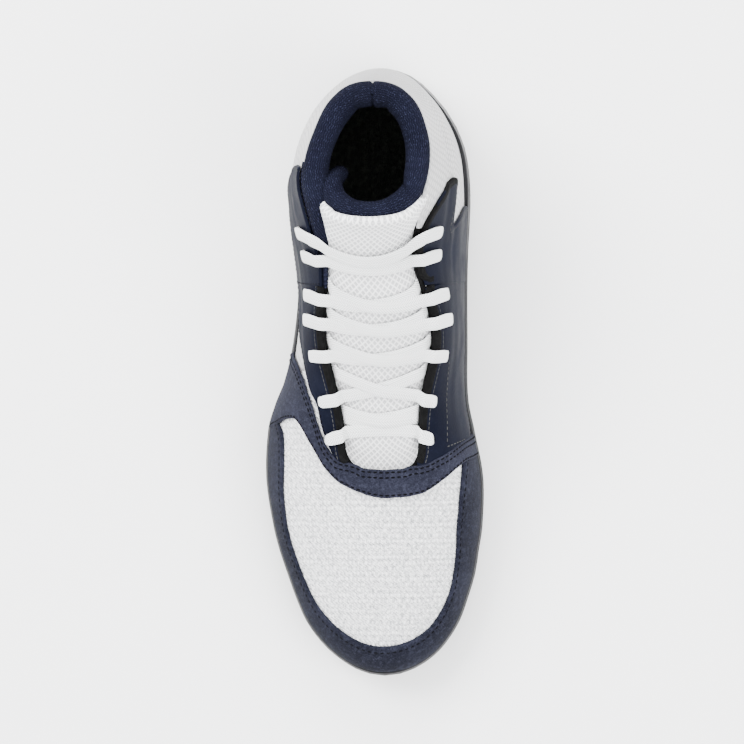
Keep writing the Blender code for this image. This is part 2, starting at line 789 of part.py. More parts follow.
# Lace: heights over the shell and over the tongue
LACE_CLEAR = 0.0009
LACE_OVER_STAY = FLAP_GAP + OVERLAY + LACE_CLEAR + LACE_THICK / 2
LACE_OVER_TONGUE = LACE_CLEAR + LACE_THICK / 2
LACE_STEPS = 8
LACE_STAY_STEPS = 3       # steps over the eyestay
LACE_EDGE_RISE = 0.99     # last of them, just inside the eyestay's inner edge
LACE_REACH = 0.92         # share of the throat that a crossing run covers
LACE_CLIMB = 0.62         # share of the way to the next row where it ends
LACE_DROP_SHARE = 0.28    # share of the throat over which it comes down to the tongue
LACE_DROP_POWER = 1.6
LACE_AHEAD = 0.01         # stretch of the tongue that its facing is read over
CROSS_RAISE = 0.6 * LACE_THICK   # middle of the run that lies over the other
TOP_RAISE = 0.4 * LACE_THICK     # the same for the seventh row's bar
SIXTH_DIP = 0.004         # how far the two top bars sag towards the toe
SEVENTH_DIP = 0.040


def over_stay(along, rise):
    """Middle of the lace over the eyestay, and the way it faces."""
    point = skin(along, rise, LACE_OVER_STAY)
    return point, (point - skin(along, rise)).normalized()


def lace_path(side, eyelet, end, raised, reach=LACE_REACH, dip=0.0):
    """Lace run from an eyelet over the tongue: points with the way each faces."""
    start = eyelet.along
    climb = LACE_EDGE_RISE - eyelet.rise
    rises = [eyelet.rise + climb * step / LACE_STAY_STEPS for step in range(LACE_STAY_STEPS + 1)]
    path = [over_stay(side * start, rise) for rise in rises]
    drop = LACE_OVER_STAY + KNIT_WALL + SEAM_GAP
    steps = LACE_STEPS if reach < 1 else LACE_STEPS - 1
    for step in range(1, steps + 1):
        share = reach * step / LACE_STEPS
        along = start + (end - start) * share - dip * math.sin(math.pi * share)
        controls = arch_curve(along)[2]
        t = share if side < 0 else 1 - share
        after, before = min(t + ACROSS_STEP, 1), max(t - ACROSS_STEP, 0)
        across = on_arch(controls, after) - on_arch(controls, before)
        ahead = on_arch(arch_curve(along + LACE_AHEAD)[2], t) - on_arch(controls, t)
        facing = across.cross(ahead).normalized()
        lift = LACE_OVER_TONGUE + raised * math.sin(math.pi * share)
        lift += drop * max(0.0, 1 - share / LACE_DROP_SHARE) ** LACE_DROP_POWER
        if reach == 1.0:
            lift += drop * max(0.0, 1 - (1 - share) / LACE_DROP_SHARE) ** LACE_DROP_POWER
        path.append((on_arch(controls, t) + facing * lift, facing))
    if reach == 1.0:
        path += [over_stay(-side * end, rise) for rise in reversed(rises)]
    return path


def lace_ribbon(name, path, finish):
    """Flat lace along a path, lying across the way it faces."""
    points = []
    last = len(path) - 1
    for i, (point, facing) in enumerate(path):
        ahead = (path[min(i + 1, last)][0] - path[max(i - 1, 0)][0]).normalized()
        outward = (facing - ahead * facing.dot(ahead)).normalized()
        beside = outward.cross(ahead) * (LACE_WIDTH / 2)
        up = outward * (LACE_THICK / 2)
        points += [point - beside - up, point + beside - up, point + beside + up, point - beside + up]
    faces = ring_faces(len(path), 4)
    faces.append((0, 1, 2, 3))
    faces.append(tuple(4 * last + k for k in range(4)))
    return add_solid(name, points, faces, finish)


def join(target, other):
    """Fuse a second body into the first and hide it."""
    union = target.modifiers.new("join", "BOOLEAN")
    union.operation = "UNION"
    union.solver = "EXACT"
    union.object = other
    other.hide_render = True
    other.display_type = "WIRE"


def build_laces(finish):
    first = EYELETS[0]
    lace_ribbon("lace_bar_1", lace_path(1, first, first.along, 0.0, reach=1.0), finish)
    for row in range(1, len(EYELETS) - 2):
        eyelet = EYELETS[row]
        end = eyelet.along + (EYELETS[row + 1].along - eyelet.along) * LACE_CLIMB
        under = lace_path(-1, eyelet, end, 0.0)
        over = lace_path(1, eyelet, end, CROSS_RAISE)
        crossing = lace_ribbon("lace_cross_%d" % (row + 1), under, finish)
        join(crossing, lace_ribbon("lace_over_%d" % (row + 1), over, finish))
    sixth, seventh = EYELETS[-2:]
    below = lace_path(1, sixth, sixth.along, 0.0, reach=1.0, dip=SIXTH_DIP)
    above = lace_path(1, seventh, seventh.along, TOP_RAISE, reach=1.0, dip=SEVENTH_DIP)
    join(lace_ribbon("lace_top", below, finish), lace_ribbon("lace_top_over", above, finish))


def main():
    clear_scene()
    rubber = material("rubber_charcoal", (0.028, 0.028, 0.030), 0.45)
    knit = material("knit_white", (0.80, 0.78, 0.79), 0.85)
    suede = material("suede_navy", (0.050, 0.054, 0.100), 0.95)
    leather = material("leather_navy", (0.014, 0.018, 0.036), 0.45)
    lining = material("lining_navy", (0.014, 0.016, 0.045), 0.90)
    board = material("insole_dark", (0.010, 0.012, 0.018), 0.90)
    lace = material("lace_white", (0.86, 0.88, 0.87), 0.80)
    build_outsole(rubber)
    build_insole(board)
    upper = build_upper(knit)
    build_tongue(knit)
    build_collar(lining)
    punch_eyelets([upper] + build_overlays(suede, leather))
    build_laces(lace)


main()
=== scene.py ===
import math

import bpy
import numpy as np
from mathutils import Matrix, Vector


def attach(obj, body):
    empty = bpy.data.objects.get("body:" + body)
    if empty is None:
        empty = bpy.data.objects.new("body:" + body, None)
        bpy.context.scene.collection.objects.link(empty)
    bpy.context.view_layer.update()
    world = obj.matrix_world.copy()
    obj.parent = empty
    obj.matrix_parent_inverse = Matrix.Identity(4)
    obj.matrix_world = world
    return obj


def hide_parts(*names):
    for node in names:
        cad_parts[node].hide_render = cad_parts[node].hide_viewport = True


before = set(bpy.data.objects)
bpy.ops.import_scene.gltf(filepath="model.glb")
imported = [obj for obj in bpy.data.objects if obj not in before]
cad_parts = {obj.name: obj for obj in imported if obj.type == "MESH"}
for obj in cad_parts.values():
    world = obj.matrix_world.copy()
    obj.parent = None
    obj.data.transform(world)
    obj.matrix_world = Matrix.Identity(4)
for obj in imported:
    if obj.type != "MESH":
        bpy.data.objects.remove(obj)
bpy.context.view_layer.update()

mm = 0.001
tau = 2 * math.pi
print("frame loaded")


# The shoe's last, in the same sizes as the solids
shoe = {
    "length": 290 * mm,
    "ballWidth": 103.4 * mm,
    "instepHeight": 60 * mm,
    "heelHeight": 132.5 * mm,
    "knitWall": 2.4 * mm,
    "shellInset": 2.16 * mm,   # outline of the shoe to the knit shell
    "floor": 6.9 * mm,         # lower edge of the knit above the ground
    "tuck": 3.0 * mm,          # how far the knit draws in below its widest line
    "widest": 15.0 * mm,
    "toeSpring": 9.5 * mm,
    "springRun": 60 * mm,
    "widestShare": 0.12,
    "tuckAngle": math.radians(62),
}

outlineRows = [   # share of the length, middle line, half width (ball widths)
    (0.000, 0.051, 0.000), (0.005, 0.051, 0.092), (0.025, 0.051, 0.201), (0.045, 0.047, 0.266),
    (0.085, 0.040, 0.348), (0.125, 0.035, 0.395), (0.165, 0.031, 0.432), (0.205, 0.021, 0.460),
    (0.245, 0.015, 0.482), (0.325, 0.000, 0.500), (0.405, -0.016, 0.474), (0.445, -0.012, 0.446),
    (0.485, 0.006, 0.420), (0.545, 0.026, 0.401), (0.625, 0.038, 0.388), (0.700, 0.039, 0.391),
    (0.785, 0.044, 0.397), (0.845, 0.048, 0.382), (0.885, 0.048, 0.353), (0.925, 0.048, 0.295),
    (0.960, 0.048, 0.215), (0.985, 0.048, 0.135), (1.000, 0.048, 0.000),
]

headRows = [   # share of the length, inner side, outer side, place along, rise
    (0.000, 0.058, 0.058, 0.338, 0.000), (0.085, 0.126, -0.010, 0.340, 0.002),
    (0.207, 0.184, -0.077, 0.347, 0.014), (0.286, 0.213, -0.111, 0.364, 0.040),
    (0.325, 0.218, -0.121, 0.383, 0.070), (0.386, 0.221, -0.126, 0.414, 0.117),
    (0.440, 0.232, -0.145, 0.455, 0.186), (0.486, 0.256, -0.169, 0.493, 0.262),
    (0.545, 0.285, -0.198, 0.541, 0.366), (0.607, 0.280, -0.205, 0.590, 0.469),
    (0.660, 0.242, -0.197, 0.638, 0.586), (0.700, 0.214, -0.200, 0.676, 0.690),
    (0.740, 0.222, -0.228, 0.710, 0.800), (0.785, 0.247, -0.266, 0.759, 0.876),
    (0.817, 0.270, -0.288, 0.797, 0.900), (0.852, 0.285, -0.277, 0.834, 0.914),
    (0.885, 0.279, -0.247, 0.869, 0.932), (0.924, 0.237, -0.189, 0.914, 0.959),
    (0.960, 0.174, -0.121, 0.941, 0.979), (0.985, 0.111, -0.058, 0.953, 0.993),
    (1.000, 0.029, 0.029, 0.957, 1.000),
]

climbRows = [   # share of the length, straightness, waist, inner and outer fullness in mm
    (0.000, 0.18, 0.00, 0.0, 0.0), (0.150, 0.25, 0.00, 0.0, 0.0), (0.325, 0.25, 0.00, 0.0, 0.0),
    (0.440, 0.18, 0.00, 0.0, 0.0), (0.545, 0.12, 0.00, 1.0, 1.0), (0.660, 0.35, -0.20, 1.0, 2.0),
    (0.785, 0.90, -0.60, 0.3, 4.0), (0.885, 1.00, -0.55, 1.0, 3.8), (0.960, 1.00, -0.40, 2.2, 3.2),
    (1.000, 1.00, -0.30, 3.0, 3.0),
]


def toTurn(along):   # signed share of the length to an even place round the shoe
    along = np.asarray(along, float)
    share = np.clip(np.abs(along), 0, 1)
    return np.copysign(np.arccos(1 - 2 * share) / math.pi, along)


def toAlong(turn):
    turn = np.asarray(turn, float)
    return np.copysign((1 - np.cos(math.pi * np.abs(turn))) / 2, turn)


def wrapTurn(turn):   # past the heel the other side begins
    turn = np.where(turn > 1, turn - 2, turn)
    return np.where(turn < -1, turn + 2, turn)


def unit(ways):
    return ways / np.linalg.norm(ways, axis=-1, keepdims=True)


def readCurve(keys, values, slopes, at):   # smooth curve through values at their keys
    i = np.clip(np.searchsorted(keys, at) - 1, 0, len(keys) - 2)
    span = keys[i + 1] - keys[i]
    t = (at - keys[i]) / span
    if values.ndim > 1:
        span, t = span[:, None], t[:, None]
    first = (2 * t**3 - 3 * t**2 + 1) * values[i] + (t**3 - 2 * t**2 + t) * span * slopes[i]
    return first + (3 * t**2 - 2 * t**3) * values[i + 1] + (t**3 - t**2) * span * slopes[i + 1]


def readRows(rows, column, along, even=True):   # one column of a table, level at both ends if even
    keys = toTurn(np.array([row[0] for row in rows]))
    values = np.array([row[column] for row in rows])
    slopes = np.empty(len(keys))
    slopes[1:-1] = (values[2:] - values[:-2]) / (keys[2:] - keys[:-2])
    slopes[0] = 0 if even else (values[1] - values[0]) / (keys[1] - keys[0])
    slopes[-1] = 0 if even else (values[-1] - values[-2]) / (keys[-1] - keys[-2])
    return readCurve(keys, values, slopes, toTurn(np.abs(along)))


def outlinePoint(along):
    side = np.copysign(1.0, along)
    share = np.abs(along)
    half = np.maximum(readRows(outlineRows, 2, share, even=False), 0)
    x = (readRows(outlineRows, 1, share) + side * half) * shoe["ballWidth"]
    return np.stack([x, (share - 0.5) * shoe["length"], np.zeros_like(x)], -1)


def outlineNormal(along):
    before, after = (outlinePoint(toAlong(wrapTurn(toTurn(along) + step))) for step in (-0.004, 0.004))
    ahead = after - before
    return unit(np.stack([ahead[..., 1], -ahead[..., 0], np.zeros(ahead.shape[:-1])], -1))


def toeLift(along):
    place = np.abs(along) * shoe["length"]
    return shoe["toeSpring"] * np.clip(1 - place / shoe["springRun"], 0, 1) ** 2


def lastPoint(along, rise):   # plain face of the last, rise from 0 at the sole to 1
    along, rise = np.broadcast_arrays(np.asarray(along, float), np.asarray(rise, float))
    over = np.maximum(rise - 1, 0)
    rise = np.minimum(rise, 1)
    outward = outlineNormal(along)
    foot = outlinePoint(along) - outward * shoe["shellInset"]
    lift = toeLift(along)
    widest = shoe["widest"] + lift
    turn = shoe["tuckAngle"] * np.clip(1 - rise / shoe["widestShare"], 0, 1)
    inward = shoe["tuck"] * (1 - np.cos(turn)) / (1 - math.cos(shoe["tuckAngle"]))
    low = foot - outward * inward[..., None]
    drop = (widest - shoe["floor"] - lift) * np.sin(turn) / math.sin(shoe["tuckAngle"])
    low[..., 2] = widest - drop

    def climb(rise):
        part = np.clip((rise - shoe["widestShare"]) / (1 - shoe["widestShare"]), 0, 1)
        turn = part * math.pi / 2
        share = np.abs(along)
        inner, outer = (readRows(headRows, column, share, False) for column in (1, 2))
        x = np.where(along >= 0, inner, outer)
        y = (readRows(headRows, 3, share) - 0.5) * shoe["length"]
        z = readRows(headRows, 4, share) * (shoe["heelHeight"] - shoe["instepHeight"])
        head = np.stack([x * shoe["ballWidth"], y, z + shoe["instepHeight"]], -1)
        straight = readRows(climbRows, 1, share)
        waist = readRows(climbRows, 2, share)
        inward = (1 - straight) * (1 - np.cos(turn)) + straight * (3 * part**2 - 2 * part**3)
        inward = inward + waist * np.sin(math.pi * part) * part
        up = (1 - straight) * np.sin(turn) + straight * part
        full = np.where(along >= 0, readRows(climbRows, 3, share), readRows(climbRows, 4, share))
        high = foot + (head - foot) * inward[..., None]
        high = high + outward * (full * mm * np.sin(math.pi * part))[..., None]
        high[..., 2] = widest + (head[..., 2] - widest) * up
        return high

    point = np.where((rise < shoe["widestShare"])[..., None], low, climb(rise))
    if over.max() > 0:
        brim = 0.03   # above the edge the shell goes on as in its last part
        edge = climb(np.ones_like(rise))
        point = point + (edge - climb(np.full_like(rise, 1 - brim))) * (over / brim)[..., None]
    return point


creases = [   # place along (outer side below zero), rise, tilt, half length, half width, depth in mm
    (0.560, 0.62, 0.5, 0.10, 0.045, 0.25), (0.600, 0.50, 0.7, 0.12, 0.045, 0.20),
    (-0.600, 0.60, 0.5, 0.11, 0.040, 0.35), (-0.640, 0.46, 0.8, 0.12, 0.040, 0.30),
    (0.860, 0.62, 0.1, 0.12, 0.030, 0.8), (-0.880, 0.60, 0.1, 0.13, 0.030, 0.8),
    (0.930, 0.74, -0.1, 0.16, 0.028, 0.7), (-0.950, 0.76, 0.1, 0.16, 0.028, 0.7),
    (0.720, 0.40, -0.3, 0.10, 0.050, 0.15), (-0.740, 0.38, -0.3, 0.10, 0.045, 0.25),
    (0.215, 0.74, 0.9, 0.14, 0.045, 0.5), (-0.190, 0.76, 0.9, 0.14, 0.045, 0.5),
]


def relief(along, rise):   # soft troughs with a ridge beside each
    turn = toTurn(along)
    total = np.zeros(np.broadcast(turn, rise).shape)
    for place, height, tilt, length, width, depth in creases:
        across = wrapTurn(turn - toTurn(place))
        up = rise - height
        run = across * math.cos(tilt) + up * math.sin(tilt)
        side = -across * math.sin(tilt) + up * math.cos(tilt)
        fade = np.exp(-(run / length) ** 2)
        total -= depth * mm * fade * np.exp(-(side / width) ** 2)
        total += 0.45 * depth * mm * fade * np.exp(-((side - 1.9 * width) / width) ** 2)
    edge = np.clip(rise / 0.15, 0, 1) * np.clip((1.02 - rise) / 0.1, 0, 1)
    return total * edge


def skin(along, rise, out=0.0):   # point on the creased last, moved out along its normal
    along, rise = np.broadcast_arrays(np.asarray(along, float), np.asarray(rise, float))
    turn = toTurn(along)
    step = 0.008
    ahead = lastPoint(toAlong(wrapTurn(turn + step)), rise)
    ahead = ahead - lastPoint(toAlong(wrapTurn(turn - step)), rise)
    low = np.maximum(rise - step, 0)
    upward = lastPoint(along, low + 2 * step) - lastPoint(along, low)
    move = np.asarray(out, float) + relief(along, rise)
    return lastPoint(along, rise) + unit(np.cross(ahead, upward)) * move[..., None]


# Shader maths: a socket that takes part in Python expressions
class Value:
    def __init__(self, paint, socket):
        self.paint = paint
        self.socket = socket

    def math(self, operation, *values):
        inputs = dict(enumerate((self,) + values))
        return self.paint.make("ShaderNodeMath", {"operation": operation}, inputs)

    def __add__(self, other):
        return self.math("ADD", other)

    __radd__ = __add__

    def __sub__(self, other):
        return self.math("SUBTRACT", other)

    def __rsub__(self, other):
        return self.paint.make("ShaderNodeMath", {"operation": "SUBTRACT"}, {0: other, 1: self})

    def __mul__(self, other):
        return self.math("MULTIPLY", other)

    __rmul__ = __mul__

    def __truediv__(self, other):
        return self.math("DIVIDE", other)

    def least(self, other):
        return self.math("MINIMUM", other)

    def most(self, other):
        return self.math("MAXIMUM", other)

    def size(self):
        return self.math("ABSOLUTE")

    def root(self):
        return self.math("SQRT")

    def wave(self):
        return self.math("SINE")

    def part(self):
        return self.math("FRACT")

    def step(self, low, high):   # 0 below low, 1 above high, soft between
        settings = {"interpolation_type": "SMOOTHSTEP"}
        inputs = {"Value": self, "From Min": low, "From Max": high}
        return self.paint.make("ShaderNodeMapRange", settings, inputs)


class Paint:   # a material, its shader and the nodes that feed it
    def __init__(self, name, colour, roughness, **sockets):
        self.material = bpy.data.materials.new(name)
        self.material.use_nodes = True
        self.tree = self.material.node_tree
        self.shader = self.tree.nodes["Principled BSDF"]
        self.set({"Base Color": (*colour, 1), "Roughness": roughness})
        self.set({key.replace("_", " "): value for key, value in sockets.items()})

    def set(self, inputs):
        for key, value in inputs.items():
            self.feed(self.shader.inputs[key], value)

    def feed(self, socket, value):
        if isinstance(value, Value):
            self.tree.links.new(value.socket, socket)
        else:
            socket.default_value = value

    def make(self, kind, settings=None, inputs=None, output=0):
        node = self.tree.nodes.new(kind)
        for key, value in (settings or {}).items():
            setattr(node, key, value)
        for key, value in (inputs or {}).items():
            self.feed(node.inputs[key], value)
        return Value(self, node.outputs[output])

    def mix(self, factor, first, second):   # colour between two
        inputs = {0: factor}
        for index, colour in ((6, first), (7, second)):
            inputs[index] = colour if isinstance(colour, Value) else (*colour, 1)
        return self.make("ShaderNodeMix", {"data_type": "RGBA"}, inputs, 2)

    def cloth(self):   # the two directions of the piece's own cloth, in millimetres
        uv = self.make("ShaderNodeUVMap", {"uv_map": "cloth"})
        split = self.make("ShaderNodeSeparateXYZ", None, {0: uv})
        return split, Value(self, split.socket.node.outputs[1])

    def place(self):   # the piece's own coordinates
        return self.make("ShaderNodeTexCoord", None, None, 3)

    def noise(self, scale, detail=3.0, roughness=0.6):   # scale in cells a metre
        inputs = {"Vector": self.place(), "Scale": scale, "Detail": detail, "Roughness": roughness}
        return self.make("ShaderNodeTexNoise", None, inputs)

    def cells(self, scale):
        return self.make("ShaderNodeTexVoronoi", None, {"Vector": self.place(), "Scale": scale})

    def bump(self, height, distance):   # distance in metres
        inputs = {"Height": height, "Distance": distance, "Strength": 1.0}
        self.set({"Normal": self.make("ShaderNodeBump", None, inputs)})


def honeycomb(u, v, pitch):   # distance to the nearest cell's middle, in millimetres
    wide, high = pitch, pitch * math.sqrt(3)
    a = ((u / wide).part() - 0.5) * wide
    b = ((v / high).part() - 0.5) * high
    c = ((u / wide + 0.5).part() - 0.5) * wide
    d = ((v / high + 0.5).part() - 0.5) * high
    return ((a * a + b * b).root()).least((c * c + d * d).root())


vampKnit = {
    "colour": (0.93, 0.93, 0.93), "shade": (0.16, 0.17, 0.19), "pitch": 4.3, "cell": 1.3,
    "rib": 1.5, "zigzag": 2.6, "depth": 1.1 * mm,
}


def paintVampKnit():
    paint = Paint("vampKnit", vampKnit["colour"], 0.85, Sheen_Weight=0.1)
    u, v = paint.cloth()
    cell = honeycomb(u, v, vampKnit["pitch"]).step(0.3 * vampKnit["cell"], 1.3 * vampKnit["cell"])
    bend = ((v / vampKnit["zigzag"]).part() - 0.5).size() * 1.6
    ribs = ((u * 0.8 + v * 0.6 + bend) * (tau / vampKnit["rib"])).wave() * 0.5 + 0.5
    wear = paint.noise(55).step(0.42, 0.80)
    # Darker in the honeycomb holes and along the rib lines: painted shade; the two noises add random tone.
    shade = (1 - cell) * 0.14 + ribs * 0.24 + wear * 0.05 + paint.noise(760).step(0.42, 0.62) * 0.42
    paint.set({"Base Color": paint.mix(shade, vampKnit["colour"], vampKnit["shade"])})
    paint.bump(cell * 0.45 + ribs * 0.45 + paint.noise(1100) * 0.35, vampKnit["depth"])
    return paint.material


quarterKnit = {
    "colour": (0.90, 0.89, 0.89), "shade": (0.14, 0.14, 0.16), "pitch": 2.9, "thread": 0.9, "depth": 1.3 * mm,
}


def paintQuarterKnit():
    paint = Paint("quarterKnit", quarterKnit["colour"], 0.88, Sheen_Weight=0.1)
    u, v = paint.cloth()
    bead = honeycomb(u + v * 0.3, v, quarterKnit["pitch"]).step(0.5, 1.7)
    first, second = ((way * (tau / quarterKnit["thread"])).wave() for way in (u + v, u - v))
    thread = first * second
    # Darker between the raised beads: painted shade; the thread and noise terms are knit pattern and random
    # tone.
    shade = bead * 0.46 + thread * 0.16 + paint.noise(50).step(0.45, 0.85) * 0.10
    paint.set({"Base Color": paint.mix(shade, quarterKnit["colour"], quarterKnit["shade"])})
    paint.bump((1 - bead) + thread * 0.25 + paint.noise(1000) * 0.3, quarterKnit["depth"])
    return paint.material


tongueNet = {
    "net": (0.92, 0.92, 0.92), "ground": (0.20, 0.20, 0.22), "pitch": 2.3, "line": 0.26, "depth": 0.35 * mm,
}


def paintTongueNet():   # slanted white net, its openings painted grey as shade
    paint = Paint("tongueNet", tongueNet["net"], 0.85, Sheen_Weight=0.1)
    u, v = paint.cloth()
    ways = (u * 0.8 + v * 0.6, u * 0.8 - v * 0.6)
    first, second = (((way / tongueNet["pitch"]).part() - 0.5).size() * 2 for way in ways)
    net = first.most(second).step(1 - 2 * tongueNet["line"], 1.0 - 0.5 * tongueNet["line"])
    ribs = (v * (tau / 0.62)).wave() * 0.5 + 0.5
    # Darker in the openings between the net lines: painted shade.
    shade = (1 - net) * 0.75 * (ribs * 0.4 + 0.6) + paint.noise(60).step(0.45, 0.85) * 0.08
    paint.set({"Base Color": paint.mix(shade, tongueNet["net"], tongueNet["ground"])})
    paint.bump(net * 0.8 + ribs * 0.25 + paint.noise(1000) * 0.2, tongueNet["depth"])
    return paint.material


def paintSuede(name, colour, light, nap):   # soft nap with brushed patches
    paint = Paint(name, colour, 0.95, Specular_IOR_Level=0.05, Sheen_Weight=0.01)
    brushed = paint.noise(38, 2.0, 0.5).step(0.38, 0.68)
    fibre = paint.noise(1900, 3.0, 0.75)
    grain = paint.noise(420, 3.0, 0.7)
    shade = brushed * 0.25 + fibre.step(0.42, 0.66) * 0.60 + grain.step(0.45, 0.70) * 0.45
    paint.set({"Base Color": paint.mix(shade, colour, light)})
    paint.bump(fibre * 0.6 + grain * 0.6, nap)
    return paint.material


def paintLeather(name, colour, light, roughness):   # smooth leather with a fine pebble
    paint = Paint(name, colour, roughness, Specular_IOR_Level=0.012)
    pebble = paint.cells(1100)
    cloud = paint.noise(45).step(0.35, 0.75)
    rub = paint.noise(260, 4.0, 0.7).step(0.62, 0.80) * cloud
    paint.set({"Base Color": paint.mix(cloud * 0.45 + pebble * 0.2 + rub * 0.6, colour, light)})
    paint.set({"Roughness": cloud * 0.12 + (roughness - 0.05)})
    paint.bump(pebble * 0.5 + paint.noise(2600) * 0.3, 0.10 * mm)
    return paint.material


def paintWeave(name, colour, light, pitch, depth, flecks=0.0):   # plain woven cloth
    paint = Paint(name, colour, 0.92, Specular_IOR_Level=0.06)
    u, v = paint.cloth()
    over = (u * (tau / pitch)).wave() * (v * (tau / pitch)).wave()
    shade = over * 0.3 + paint.noise(300).step(0.4, 0.8) * 0.5
    if flecks:
        shade = shade + paint.noise(1500, 2.0, 0.8).step(0.60, 0.70) * flecks
    paint.set({"Base Color": paint.mix(shade, colour, light)})
    paint.bump(over * 0.5 + paint.noise(1800) * 0.5, depth)
    return paint.material


liningKnit = {
    "colour": (0.0022, 0.0025, 0.0075), "light": (0.026, 0.029, 0.058), "pitch": 1.7, "stitch": 1.1,
    "depth": 0.7 * mm,
}


def paintLining():   # coarse knit in slanted stitches, with lighter flecks
    paint = Paint("collarLining", liningKnit["colour"], 0.92, Specular_IOR_Level=0.06)
    u, v = paint.cloth()
    bend = ((u / liningKnit["pitch"]).part() - 0.5).size() * 1.1
    stitch = ((v + bend) * (tau / liningKnit["stitch"])).wave() * 0.5 + 0.5
    groove = (u * (tau / liningKnit["pitch"])).wave() * 0.5 + 0.5
    flecks = paint.noise(1100, 2.0, 0.8).step(0.53, 0.64)
    shade = stitch * 0.12 + flecks * 0.62 * stitch + paint.noise(40).step(0.4, 0.8) * 0.12
    paint.set({"Base Color": paint.mix(shade, liningKnit["colour"], liningKnit["light"])})
    paint.bump(stitch * 0.7 + groove * 0.4 + paint.noise(1500) * 0.3, liningKnit["depth"])
    return paint.material


def paintLace():   # flat braid: two sets of slanted strands that meet along the middle
    paint = Paint("laceBraid", (0.90, 0.91, 0.90), 0.80, Sheen_Weight=0.1)
    u, v = paint.cloth()
    slant = ((v + u.size() * 0.9) / 1.25).part() - 0.5
    strand = 1 - slant.size() * 2
    plait = (u * (tau / 1.6)).wave() * 0.5 + 0.5
    height = strand.step(0.0, 0.8) * 0.8 + plait * 0.35
    # Darker between the strands and in the plait's troughs: painted shade.
    shade = (1 - strand.step(0.0, 0.50)) * 0.60 + (1 - plait) * 0.12
    paint.set({"Base Color": paint.mix(shade, (0.96, 0.97, 0.96), (0.36, 0.38, 0.40))})
    paint.bump(height, 0.40 * mm)
    return paint.material


def paintRubber():
    paint = Paint("soleRubber", (0.007, 0.007, 0.008), 0.45, Specular_IOR_Level=0.16)
    cloud = paint.noise(70).step(0.35, 0.75)
    paint.set({"Base Color": paint.mix(cloud * 0.6, (0.006, 0.006, 0.007), (0.015, 0.015, 0.017))})
    paint.set({"Roughness": cloud * 0.16 + 0.34})
    paint.bump(paint.cells(1500) * 0.4 + paint.noise(500) * 0.4, 0.07 * mm)
    return paint.material


paints = {
    "vampKnit": paintVampKnit(),
    "quarterKnit": paintQuarterKnit(),
    "tongueNet": paintTongueNet(),
    "suede": paintSuede("guardSuede", (0.0035, 0.0038, 0.0070), (0.0200, 0.0215, 0.0345), 0.50 * mm),
    "nubuck": paintSuede("saddleNubuck", (0.0070, 0.0074, 0.0130), (0.0240, 0.0255, 0.0400), 0.30 * mm),
    "leather": paintLeather("stayLeather", (0.0030, 0.0036, 0.0078), (0.0085, 0.0100, 0.0190), 0.50),
    "binding": paintWeave("edgeBinding", (0.0022, 0.0022, 0.0024), (0.011, 0.011, 0.011), 0.9, 0.25 * mm),
    "lining": paintLining(),
    "insole": paintWeave("sockCloth", (0.040, 0.044, 0.040), (0.12, 0.13, 0.11), 1.4, 0.25 * mm, 0.4),
    "lace": paintLace(),
    "rubber": paintRubber(),
    "threadNavy": paintWeave("threadNavy", (0.0012, 0.0013, 0.0020), (0.003, 0.003, 0.005), 0.3, 0.05 * mm),
    "threadGrey": paintWeave("threadGrey", (0.045, 0.045, 0.043), (0.10, 0.10, 0.095), 0.3, 0.05 * mm),
}
print("finishes made")


def makeMesh(name, points, faces, uv, finishes, slots=None):   # points, quads, a uv for each point
    mesh = bpy.data.meshes.new(name)
    faces = np.asarray(faces, np.int32)
    mesh.vertices.add(len(points))
    mesh.vertices.foreach_set("co", np.asarray(points, np.float32).ravel())
    mesh.loops.add(faces.size)
    mesh.loops.foreach_set("vertex_index", faces.ravel())
    mesh.polygons.add(len(faces))
    mesh.polygons.foreach_set("loop_start", np.arange(len(faces), dtype=np.int32) * 4)
    mesh.polygons.foreach_set("use_smooth", np.ones(len(faces), bool))
    if slots is not None:
        mesh.polygons.foreach_set("material_index", np.asarray(slots, np.int32))
    layer = mesh.uv_layers.new(name="cloth")
    layer.data.foreach_set("uv", np.asarray(uv, np.float32)[faces.ravel()].ravel())
    mesh.update(calc_edges=True)
    mesh.validate()
    for finish in finishes:
        mesh.materials.append(paints[finish])
    piece = bpy.data.objects.new(name, mesh)
    bpy.context.scene.collection.objects.link(piece)
    return piece


def gridFaces(rows, columns, start=0, closed=False, flip=False):
    r = np.arange(rows - 1)[:, None]
    c = np.arange(columns if closed else columns - 1)[None, :]
    nextC = (c + 1) % columns
    corners = [r * columns + c, r * columns + nextC, (r + 1) * columns + nextC, (r + 1) * columns + c]
    quads = np.stack([np.broadcast_to(k, (rows - 1, c.shape[1])) for k in corners], -1).reshape(-1, 4)
    return (quads[:, ::-1] if flip else quads) + start


def capFaces(sides, start, flip):   # quads over the open end of a tube
    caps = np.array([[k, k + 1, sides - 2 - k, sides - 1 - k] for k in range(sides // 2 - 1)]) + start
    return caps[:, ::-1] if flip else caps


def tubeFaces(count, sides):   # closed tube of rings
    ends = [capFaces(sides, 0, True), capFaces(sides, (count - 1) * sides, False)]
    return np.concatenate([gridFaces(count, sides, closed=True)] + ends)


def rimLoop(rows, columns):   # border of a grid, once round
    first = np.arange(columns)
    right = np.arange(1, rows) * columns + columns - 1
    top = (rows - 1) * columns + np.arange(columns - 2, -1, -1)
    left = np.arange(rows - 2, 0, -1) * columns
    return np.concatenate([first, right, top, left])


def slab(name, outer, inner, uv, finishes, slots=None):   # closed sheet between two grids
    rows, columns = outer.shape[:2]
    count = rows * columns
    points = np.concatenate([outer.reshape(-1, 3), inner.reshape(-1, 3)])
    rim = rimLoop(rows, columns)
    after = np.roll(rim, -1)
    side = np.stack([after, rim, rim + count, after + count], -1)
    faces = np.concatenate([gridFaces(rows, columns), gridFaces(rows, columns, count, flip=True), side])
    uv = uv.reshape(-1, 2)
    return makeMesh(name, points, faces, np.concatenate([uv, uv]), finishes, slots)


def runLength(points, axis):   # distance run along one direction of a grid
    steps = np.linalg.norm(np.diff(points, axis=axis), axis=-1)
    zero = np.zeros_like(np.take(steps, [0], axis))
    return np.concatenate([zero, np.cumsum(steps, axis)], axis)


